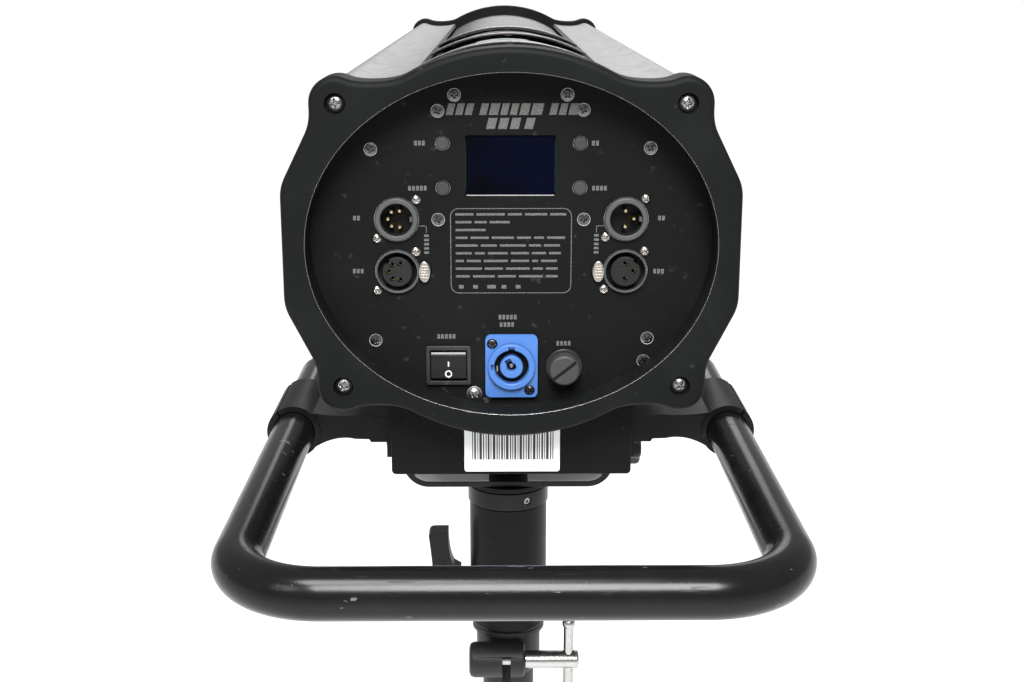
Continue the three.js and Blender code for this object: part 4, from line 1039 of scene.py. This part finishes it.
# ---- Mains switch ----
# A snap-in rocker switch: a dark moulded frame and a glossy black rocker with the on and off signs printed
# in white. The frame's back box clips into the plate.
switch_skin = painted("switch_skin", (0.012, 0.0125, 0.0125), 0.42, 0.3, 0.3, 0.02, dust=0.3,
    slot="black_plastic")
rocker_skin = painted("rocker_skin", 0.004, 0.24, 0.35, 0.5, 0.01, dust=0.15, slot="black_plastic")
switch_at, switch_w, switch_h, switch_proud = panel_box("switch_frame")
surround = slab(rounded(switch_w, switch_h, 1.2), 0.3, switch_proud, switch_at)
cut(surround, slab(rounded(18.4, 15.8, 0.6), -2, 8, switch_at))
back_box = slab(rounded(19.6, 17.2, 0.5), -16, 0.35, switch_at)
cut(back_box, slab(rounded(18.4, 15.8, 0.6), -14, 2, switch_at))
piece("switch_surround", together(surround, back_box), switch_skin, "switch_frame", edge=0.35)
_, rocker_w, _, ROCKER_TOP = panel_box("power_rocker")
RIDGE = (3.1, ROCKER_TOP - 1.3)
FOOT = (-6.2, ROCKER_TOP)
rocker_face = [RIDGE] + curve([RIDGE, (-2, ROCKER_TOP - 1.2), FOOT], 8)
rocker_side = [(6.9, -2.5), (7.1, 0.4)] + curve([(7.1, 0.4), (6.0, 1.6), RIDGE], 5)
rocker_side += rocker_face[1:] + [(-7.2, -2), (-4, -7), (4, -7)]
rocker_rings = [[switch_at @ Vector((side * rocker_w / 2, z, h)) for z, h in rocker_side] for side in (-1, 1)]
piece("rocker_paddle", loft(rocker_rings), rocker_skin, "power_rocker", body="rocker", edge=0.3, angle=50)


def face_height(z):
    """Height of the rocker's face at z, on the curve from its ridge to its foot."""
    for (za, ha), (zb, hb) in zip(rocker_face, rocker_face[1:]):
        if zb <= z <= za:
            return ha + (hb - ha) * (za - z) / (za - zb)
    return ROCKER_TOP


sign_white = Finish("sign_white", 0.45, 0.45, slot="grey_plastic")
sign_white.feed("Roughness", 0.4 + sign_white.noise(0.6, 2) * 0.15)
off_outside, off_inside = circle(1.75, 40), circle(1.15, 40)
off_z = -4.0
off_rings = [[switch_at @ Vector((x, z + off_z, face_height(z + off_z) + h)) for x, z in points]
    for points, h in ((off_outside, -0.05), (off_outside, 0.04), (off_inside, 0.04), (off_inside, -0.05))]
on_rings = [[switch_at @ Vector((x, z + 0.9, face_height(z + 0.9) + h)) for x, z in rounded(0.7, 2.5, 0.1, 2)]
    for h in (-0.05, 0.04)]
piece("rocker_signs", together(loft(off_rings, closed=True), loft(on_rings)), sign_white, body="rocker")

# ---- Fuse holder ----
# A black moulded holder fixed in the plate. Its fluted cap is slotted for a screwdriver and turns through a
# quarter turn to let the fuse out.
fuse_skin = painted("fuse_skin", (0.026, 0.027, 0.026), 0.5, 0.3, 0.4, 0.06, dust=0.5, slot="black_plastic")
fuse_at = panel_box("fuse_holder")[0]
holder = turned([(4.9, 0.3), (9.2, 0.3), (9.2, 1.5), (8.8, 1.9), (4.9, 1.9)], fuse_at, 72)
piece("fuse_flange", holder, switch_skin, "fuse_holder")
CAP_TOP = panel_box("fuse_cap")[3]


def waved(radius, swell, waves, steps):
    """A loop whose radius swells and shrinks, as on a fluted cap or a lobed knob."""
    turns = [2 * pi * k / (waves * steps) for k in range(waves * steps)]
    radii = [radius + swell * cos(waves * t) for t in turns]
    return [(r * cos(t), r * sin(t)) for r, t in zip(radii, turns)]


FLUTES = 30
levels = ((7.8, 0.28, 2.2), (7.8, 0.28, CAP_TOP - 1.5), (7.6, 0.2, CAP_TOP - 0.8), (7.0, 0.05, CAP_TOP - 0.35),
    (6.2, 0, CAP_TOP - 0.1))
cap = stack(fuse_at, [(waved(r - depth / 2, -depth / 2, FLUTES, 4), h) for r, depth, h in levels])
slot_at = fuse_at @ spin(38)
cut(cap, slab(rect(-9, 9, -0.85, 0.85), CAP_TOP - 2.4, CAP_TOP + 2, slot_at))
# Painted shade: a strip of the rocker's blacker paint in the bottom of the screwdriver slot stands in for the
# shade deep in the slot.
slot_shade_strip = slab(rect(-6.6, 6.6, -0.8, 0.8), CAP_TOP - 2.6, CAP_TOP - 1.3, slot_at)
piece("fuse_slot_shade", slot_shade_strip, rocker_skin, body="fuse_cap")
piece("fuse_knob", cap, fuse_skin, "fuse_cap", body="fuse_cap", edge=0.12, angle=50)

# ---- Lens tube and front lens ----
# A turned black barrel fills the front bezel's opening and holds the coated front lens, set back from its rim
# and kept by a threaded ring. Inside, the square bulkhead carries the guide rods' ends.
barrel_paint = painted("barrel_paint", 0.008, 0.55, 0.3, 0.6, 0.04)
tube_low, tube_high = (corner.y for corner in box("lens_barrel"))
barrel_at = to_beam(0, LAMP_Z, 0)
BARREL_R, GLASS_R = 72, 66
profile = [(GLASS_R, tube_low + 3), (BARREL_R, tube_low + 3), (BARREL_R, tube_high - 0.8),
    (BARREL_R - 0.8, tube_high)]
profile += [(69.6, tube_high), (69, tube_high - 0.8), (69, tube_low + 11), (GLASS_R, tube_low + 11)]
barrel = turned(profile, barrel_at, 96)
bulkhead = slab(rounded(150, 124, 5), tube_low, tube_low + 3, barrel_at)
cut(bulkhead, rod(GLASS_R, tube_low - 2, tube_low + 5, barrel_at, 96))
piece("lens_tube", together(barrel, bulkhead), barrel_paint, "lens_barrel")
KEEPER_Y = box("front_lens")[1].y - 4
keeper = turned([(65.2, KEEPER_Y), (68.7, KEEPER_Y), (68.7, KEEPER_Y + 4), (66, KEEPER_Y + 4),
    (65.2, KEEPER_Y + 3.2)], barrel_at, 96)
notches = [slab(rect(-2, 2, 60, 75), KEEPER_Y + 2.6, KEEPER_Y + 8, barrel_at @ spin(turn))
    for turn in (20, 140, 260)]
cut(keeper, together(*notches))
piece("lens_keeper", keeper, barrel_paint, slot="black_satin", edge=0.2)

lens_glass = Finish("lens_glass", (0.85, 0.90, 0.93), 0.02, gloss=0.5, slot="clear_glass")
lens_glass.feed("Transmission Weight", 0.92)
lens_glass.feed("IOR", 1.5)
lens_smear = lens_glass.noise(30, 4)
lens_glass.feed("Roughness", 0.015 + lens_glass.step(lens_smear, 0.5, 0.8) * 0.05)
lens_glass.feed("Base Color", lens_glass.mix(lens_smear * 0.4, (0.86, 0.91, 0.95), (0.78, 0.86, 0.84)))


def lens(node, sides=80):
    """Biconvex lens in its node's box."""
    low, high = box(node)
    rim = (high.x - low.x) / 2
    middle = (low.y + high.y) / 2
    thick = (high.y - low.y) / 2
    half_edge = 2.5 if rim > 35 else 2
    bulge = thick - half_edge
    back = [(rim * i / 10, middle - half_edge - bulge * (1 - (i / 10) ** 2)) for i in range(11)]
    front = [(r, 2 * middle - y) for r, y in back[::-1]]
    return turned(back + front, to_beam(0, LAMP_Z, 0), sides)


for node, body in (("front_lens", "head"), ("condenser_lens", "head"), ("focus_lens", "focus"),
        ("zoom_lens", "zoom")):
    piece(f"{node}_glass", lens(node), lens_glass, node, body=body)

# ---- Optics and electronics inside ----
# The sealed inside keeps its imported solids: finned heatsink, light source board, fan, gate and iris, guide rods,
# two lens carriages, power supply and control board. Each takes the finish of what it is made of.
cast_aluminium = metal("cast_aluminium", (0.55, 0.55, 0.56), 0.45)
ground_steel = metal("ground_steel", (0.5, 0.5, 0.51), 0.22, grain=(1, 40, 1))
laminate = painted("green_laminate", (0.012, 0.10, 0.035), 0.45, 0.5, 0.5, 0.03)
fan_skin = painted("fan_skin", 0.014, 0.5, 0.4, 0.5, 0.03)
carriage_paint = painted("carriage_paint", 0.012, 0.6, 0.3, 0.6, 0.04)
inside = {
    "heatsink": cast_aluminium, "gate_plate": cast_aluminium, "power_supply": cast_aluminium,
    "iris_ring": ground_steel, "guide_rod_left": ground_steel, "guide_rod_right": ground_steel,
    "led_board": laminate, "control_board": laminate, "fan_frame": fan_skin, "fan_rotor": fan_skin,
    "focus_carriage": carriage_paint, "zoom_carriage": carriage_paint,
}
for node, finish in inside.items():
    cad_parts[node].material_slots[0].material = finish.material

# ---- Yoke ----
# A bent steel strap, black powder coated, with thin pale sheets laid on its flat either side of the nut as a
# painted reflection on the flat's top face. It stands on the spindle's flange under a hexagon nut, and its arms
# end in round eyes for the pivot bolts.
yoke_paint = painted("yoke_paint", 0.005, 0.42, 0.2, 0.8, 0.05)
yoke_low, yoke_high = box("yoke_bracket")
STRAP = 4
YOKE_BEND = 18
YOKE_LOW = yoke_low.z
YOKE_HALF = yoke_high.x
inner_bend = YOKE_BEND - STRAP
bend_z = YOKE_LOW + YOKE_BEND
wall = YOKE_HALF - STRAP
flat_end = wall - inner_bend
strap_outside = mirrored([(YOKE_HALF, yoke_high.z)] + arc(flat_end, bend_z, YOKE_BEND, 0, -90, 14))
strap_inside = mirrored([(wall, yoke_high.z)] + arc(flat_end, bend_z, inner_bend, 0, -90, 14))[::-1]
half_depth = yoke_high.y
strap = slab(strap_outside + strap_inside, -half_depth - 1, half_depth + 1, to_operator(0, 0, 0))
eye = [(half_depth, YOKE_LOW - 2), (half_depth, YOKE_LOW + 15)] + arc(0, TILT_Z, 20, 0, 180, 28)
eye += [(-half_depth, YOKE_LOW + 15), (-half_depth, YOKE_LOW - 2)]
cut(strap, slab(eye, -YOKE_HALF - 5, YOKE_HALF + 5, to_right(0, 0, 0)), operation="INTERSECT")
cut(strap, rod(8.3, YOKE_LOW - 2, YOKE_LOW + 8, upright(0, 0, 0)), rod(6.3, -90, 90, to_right(0, 0, TILT_Z)))
piece("yoke_strap", strap, yoke_paint, "yoke_bracket", body="yoke", edge=0.5)

# Painted reflection: a pale sheet either side of the nut on the strap's flat stands in for the light that the
# flat's top face reflects at a grazing view.
plate_steel = metal("plate_steel", (0.80, 0.78, 0.76), 0.5, grain=(30, 1, 1), scuff=0.15, metallic=0.0)
PLATE_GAP, PLATE_TOP = 0.02, 0.32
under, over = (mirrored(arc(flat_end, bend_z, inner_bend - gap, -44, -90, 8)) for gap in (PLATE_GAP, PLATE_TOP))
reflection_sheet = slab(under + over[::-1], 0.6 - half_depth, half_depth - 0.6, to_operator(0, 0, 0))
middle = rect(-13.5, 13.5, -half_depth, half_depth)
cut(reflection_sheet, slab(middle, YOKE_LOW, YOKE_LOW + 8, upright(0, 0, 0)))
piece("yoke_reflection_sheet", reflection_sheet, plate_steel, body="yoke", edge=0.1)

nut_steel = painted("nut_black", 0.002, 0.3, 0.22, 0.5, 0.03, dust=0.1, slot="black_satin")
nut_low, nut_high = box("spindle_nut")
CORNER_R = (nut_high.x - nut_low.x) / 2


def nut(at, corner, height, hole):
    """Hexagon nut whose corners are turned off at both faces."""
    body = slab(circle(corner, 6), 0, height, at)
    turned_off = turned([(0, -0.2), (corner * 0.88, -0.2), (corner * 1.03, height * 0.14),
        (corner * 1.03, height * 0.86), (corner * 0.88, height + 0.2), (0, height + 0.2)], at, 72)
    cut(body, turned_off, operation="INTERSECT")
    if hole:
        cut(body, rod(hole, -2, height + 2, at))
    return body


nut_body = nut(upright(0, 0, nut_low.z), CORNER_R, nut_high.z - nut_low.z, 8.3)
piece("yoke_nut", nut_body, nut_steel, "spindle_nut", body="yoke", edge=0.2)

# ---- Spindle, sleeve and ring ----
# The yoke turns on a steel spindle in a thick black sleeve. A ring with a grub screw rides on the sleeve's top,
# under the spindle's flange.
turned_paint = painted("turned_paint", 0.0028, 0.42, 0.14, 0.7, 0.05, dust=0.12)
spindle_low, spindle_high = box("pan_spindle")
ring_low, ring_high = box("sleeve_ring")
sleeve_low, sleeve_high = box("swivel_sleeve")
socket_high = box("stand_socket")[1]
FLANGE_R = spindle_high.x
centre = upright(0, 0, 0)
thread = [(8 - 0.35 * (k % 2), YOKE_LOW + 0.4 + k * 0.5) for k in range(31)]
bottom, seat = spindle_low.z, ring_high.z + 0.3
spindle_profile = [(0, bottom), (15, bottom), (16, bottom + 2), (16, seat), (FLANGE_R - 0.8, seat),
    (FLANGE_R, seat + 0.9)]
spindle_profile += [(FLANGE_R, YOKE_LOW - 0.8), (FLANGE_R - 0.5, YOKE_LOW - 0.3), (8, YOKE_LOW - 0.3)] + thread
spindle = turned(spindle_profile + [(7.0, spindle_high.z), (0, spindle_high.z)], centre, 80)
piece("yoke_spindle", spindle, turned_paint, "pan_spindle", body="yoke")
RING_R = ring_high.x
SLEEVE_BORE = 16.4
low, high = ring_low.z, ring_high.z
ring = turned([(SLEEVE_BORE, low), (RING_R - 0.9, low), (RING_R - 0.2, low + 0.3), (RING_R, low + 0.9),
    (RING_R, high - 0.9), (RING_R - 0.2, high - 0.3), (RING_R - 0.9, high), (SLEEVE_BORE, high)], centre, 96)
ring_middle = (ring_low.z + ring_high.z) / 2
grub_at = spin(-62) @ to_right(0, 0, ring_middle)
cut(ring, rod(2.6, RING_R - 3, RING_R + 3, grub_at, 32))
piece("ring_collar", ring, nut_steel, "sleeve_ring", body="stand_adapter")
grub = rod(2.45, RING_R - 4, RING_R - 0.9, grub_at, 32)
cut(grub, slab(circle(1.3, 6), RING_R - 2.2, RING_R + 2, grub_at))
piece("ring_grub", grub, screw_steel, body="stand_adapter", edge=0.15)
SLEEVE_R = sleeve_high.x
low, high = sleeve_low.z, sleeve_high.z
sleeve = turned([(SLEEVE_BORE, low), (SLEEVE_R - 1.4, low), (SLEEVE_R - 0.9, low + 0.5), (SLEEVE_R, low + 3),
    (SLEEVE_R, high - 0.6), (SLEEVE_R - 0.6, high), (SLEEVE_BORE, high)], centre, 96)
piece("swivel_tube", sleeve, turned_paint, "swivel_sleeve", body="stand_adapter")

# ---- Stand clamp ----
# The socket is cast with a split neck that closes on the stand's spigot. A cross barrel holds the clamp bolt,
# and all of it is black coated like the sleeve.
cast_paint = painted("cast_paint", 0.009, 0.48, 0.3, 1.1, 0.1, dust=0.4)
NECK_R, BODY_R, SHOULDER_R, STAND_BORE = 18.5, 23, socket_high.x, 14.3
BARREL_Y, BARREL_Z, CROSS_R = -30, 57, 12.6
BARREL_LEFT, BARREL_RIGHT = -28, 11.4
socket_profile = [(STAND_BORE, 0.6), (STAND_BORE + 0.6, 0), (NECK_R - 0.7, 0), (NECK_R, 0.7), (NECK_R, 37.4),
    (NECK_R + 0.6, 38.6), (BODY_R - 0.5, 42.6), (BODY_R, 43.6), (BODY_R, 69.4), (BODY_R + 0.6, 70),
    (SHOULDER_R - 0.5, 70.2), (SHOULDER_R, 70.8), (SHOULDER_R, socket_high.z - 0.7),
    (SHOULDER_R - 0.7, socket_high.z), (0, socket_high.z), (0, 66), (STAND_BORE, 66)]
socket = turned(socket_profile, centre, 80)
left, right = BARREL_LEFT, BARREL_RIGHT
cross = turned([(0, left), (CROSS_R - 3.4, left), (CROSS_R - 1.1, left + 1), (CROSS_R, left + 3.4),
    (CROSS_R, right - 2), (CROSS_R - 0.6, right - 0.6), (CROSS_R - 2, right), (0, right)],
    to_right(0, BARREL_Y, BARREL_Z), 64)
cut(cross, rod(20, 30, 80, centre))
fused(socket, cross)
slit = slab(rect(-4.5, 1.5, -50, -8), -1, 64, centre)
cut(socket, slit, rod(4.4, BARREL_LEFT - 2, BARREL_RIGHT + 2, to_right(0, BARREL_Y, BARREL_Z), 40))
piece("clamp_socket", socket, cast_paint, "stand_socket", body="stand_adapter", edge=0.6, angle=40)

# ---- Clamp bolt and tommy bar ----
# The bolt's thick end is zinc plated and cross drilled for a sliding bar with balled ends, which gives the
# leverage to tighten the clamp by hand.
zinc = metal("zinc_plate", (0.40, 0.40, 0.39), 0.26, grain=(30, 1, 1), scuff=0.35)
bar_zinc = metal("bar_zinc", (0.40, 0.40, 0.39), 0.24, grain=(1, 1, 30), scuff=0.35)
bolt_low, bolt_high = box("clamp_bolt")
bolt_at = to_right(0, BARREL_Y, BARREL_Z)
BOLT_R, STEM_R = 6.35, 4
TOMMY_X = 42.8
bolt_start = BARREL_RIGHT + 0.3
stem_thread = [(STEM_R - 0.25 * (k % 2), bolt_low.x + 0.8 + k * 0.5) for k in range(40)]
left, right = bolt_low.x, bolt_high.x
bolt_profile = [(0, left), (STEM_R - 0.6, left)] + stem_thread + [(STEM_R, bolt_start - 1),
    (STEM_R, bolt_start)]
bolt_profile += [(BOLT_R - 0.4, bolt_start), (BOLT_R, bolt_start + 0.5), (BOLT_R, right - 1.6),
    (BOLT_R - 0.5, right - 0.5)]
bolt = turned(bolt_profile + [(BOLT_R - 1.5, right), (0, right)], bolt_at, 56)
cut(bolt, rod(3.9, BARREL_Z - 20, BARREL_Z + 20, upright(TOMMY_X, BARREL_Y, 0), 40))
piece("clamp_screw", bolt, zinc, "clamp_bolt", body="clamp_bolt", edge=0.25, angle=50)
tommy_low, tommy_high = box("tommy_bar")
BAR_R = 3.55
ball_r = (tommy_high.x - tommy_low.x) / 2
low_ball, high_ball = tommy_low.z + ball_r, tommy_high.z - ball_r
meet = degrees(asin(BAR_R / ball_r))
lower = [(ball_r * cos(radians(a)), low_ball + ball_r * sin(radians(a))) for a in range(-90, int(90 - meet), 9)]
upper = [(r, low_ball + high_ball - z) for r, z in lower[::-1]]
lower[0] = (0, lower[0][1])
upper[-1] = (0, upper[-1][1])
tommy = turned(lower + [(BAR_R, low_ball + 3.4), (BAR_R, high_ball - 3.4)] + upper,
    upright(TOMMY_X, BARREL_Y, 0), 40)
piece("tommy_rod", tommy, bar_zinc, "tommy_bar", body="tommy_bar")

# ---- Pan lock lever ----
# A moulded black lever on a steel stud that screws into the sleeve's left side. Its arm rises and leans
# outwards, and it turns through 120 degrees to lock the pan.
lever_skin = painted("lever_skin", 0.0045, 0.42, 0.2, 0.5, 0.04, slot="black_plastic")
lever_high = box("pan_lock_lever")[1]
ARM_TOP = 41
LEVER_Z = lever_high.z - ARM_TOP
hub = turned([(0, -44), (9.6, -44), (11, -42.6), (11, -33), (9.4, -31), (9.4, lever_high.x), (0, lever_high.x)],
    to_right(0, 0, LEVER_Z), 56)
arm_outline = [(-36, -7), (-52, -5), (-54.5, 14)] + curve([(-54.5, 14), (-55.6, 28), (-57, 38)], 8)
arm_outline += curve([(-57, 38), (-56.4, 41), (-52.5, 41)], 6) + [(-43, 41)]
arm_outline += curve([(-43, 41), (-43, 22), (-39, 15)], 8) + [(-34, 12)]
lever = fused(hub, slab(arm_outline, -7, 7, to_operator(0, LEVER_Z, 0)))
piece("lock_lever", lever, lever_skin, "pan_lock_lever", body="pan_lock", edge=1.1)
screws("lock_lever_screw", dark_screw_steel, 3.2, 0.7, [(to_side(-1, 44, 0, LEVER_Z), 10)], body="pan_lock")
STUD_END = -25.6
stud = rod(4, lever_high.x - 1.5, STUD_END, to_right(0, 0, LEVER_Z), 40)
piece("lock_lever_stud", stud, dark_screw_steel, body="pan_lock")

# ---- Tilt pivots ----
# At the left a hexagon bolt with a washer, at the right a lobed black hand knob on a stud. Tightening the knob
# holds the head's tilt.
pivot_low, pivot_high = box("tilt_pivot_bolt")
left_out = to_side(-1, 0, 0, TILT_Z)
pivot_shank = rod(6, -pivot_high.x, -pivot_low.x - 3, left_out)
pivot_washer = turned([(0, YOKE_HALF + 0.3), (12, YOKE_HALF + 0.3), (12, YOKE_HALF + 1.7),
    (11.6, YOKE_HALF + 2), (0, YOKE_HALF + 2)], left_out, 56)
pivot_head = nut(left_out @ upright(0, 0, YOKE_HALF + 2), 10.5, -pivot_low.x - YOKE_HALF - 2, 0)
piece("pivot_hex_bolt", together(pivot_shank, pivot_washer, pivot_head), zinc, "tilt_pivot_bolt", body="yoke",
    edge=0.2)

knob_low, knob_high = box("tilt_lock_knob")
knob_at = to_right(0, 0, TILT_Z)
KNOB_LOBES = 7
face = knob_high.x
levels = ((2.0, 79), (0.9, 79.5), (0.25, 80.6), (0, 82), (0, face - 3), (0.4, face - 1.4), (1.2, face - 0.5),
    (2.6, face), (8, face), (9, face - 1))
knob = stack(knob_at, [(waved(18.6 - shrink, 1.4, KNOB_LOBES, 16), x) for shrink, x in levels])
knob_neck = rod(12, YOKE_HALF + 0.3, 80, knob_at, 56)
piece("tilt_hand_knob", together(knob, knob_neck), lever_skin, "tilt_lock_knob", body="tilt_knob")
knob_boss = turned([(0, face - 1.2), (5.4, face - 1.2), (5.4, face - 0.6), (4.8, face - 0.2), (0, face - 0.2)],
    knob_at, 40)
stud = rod(6, knob_low.x, YOKE_HALF + 1, knob_at, 40)
piece("tilt_knob_stud", together(knob_boss, stud), zinc, body="tilt_knob")
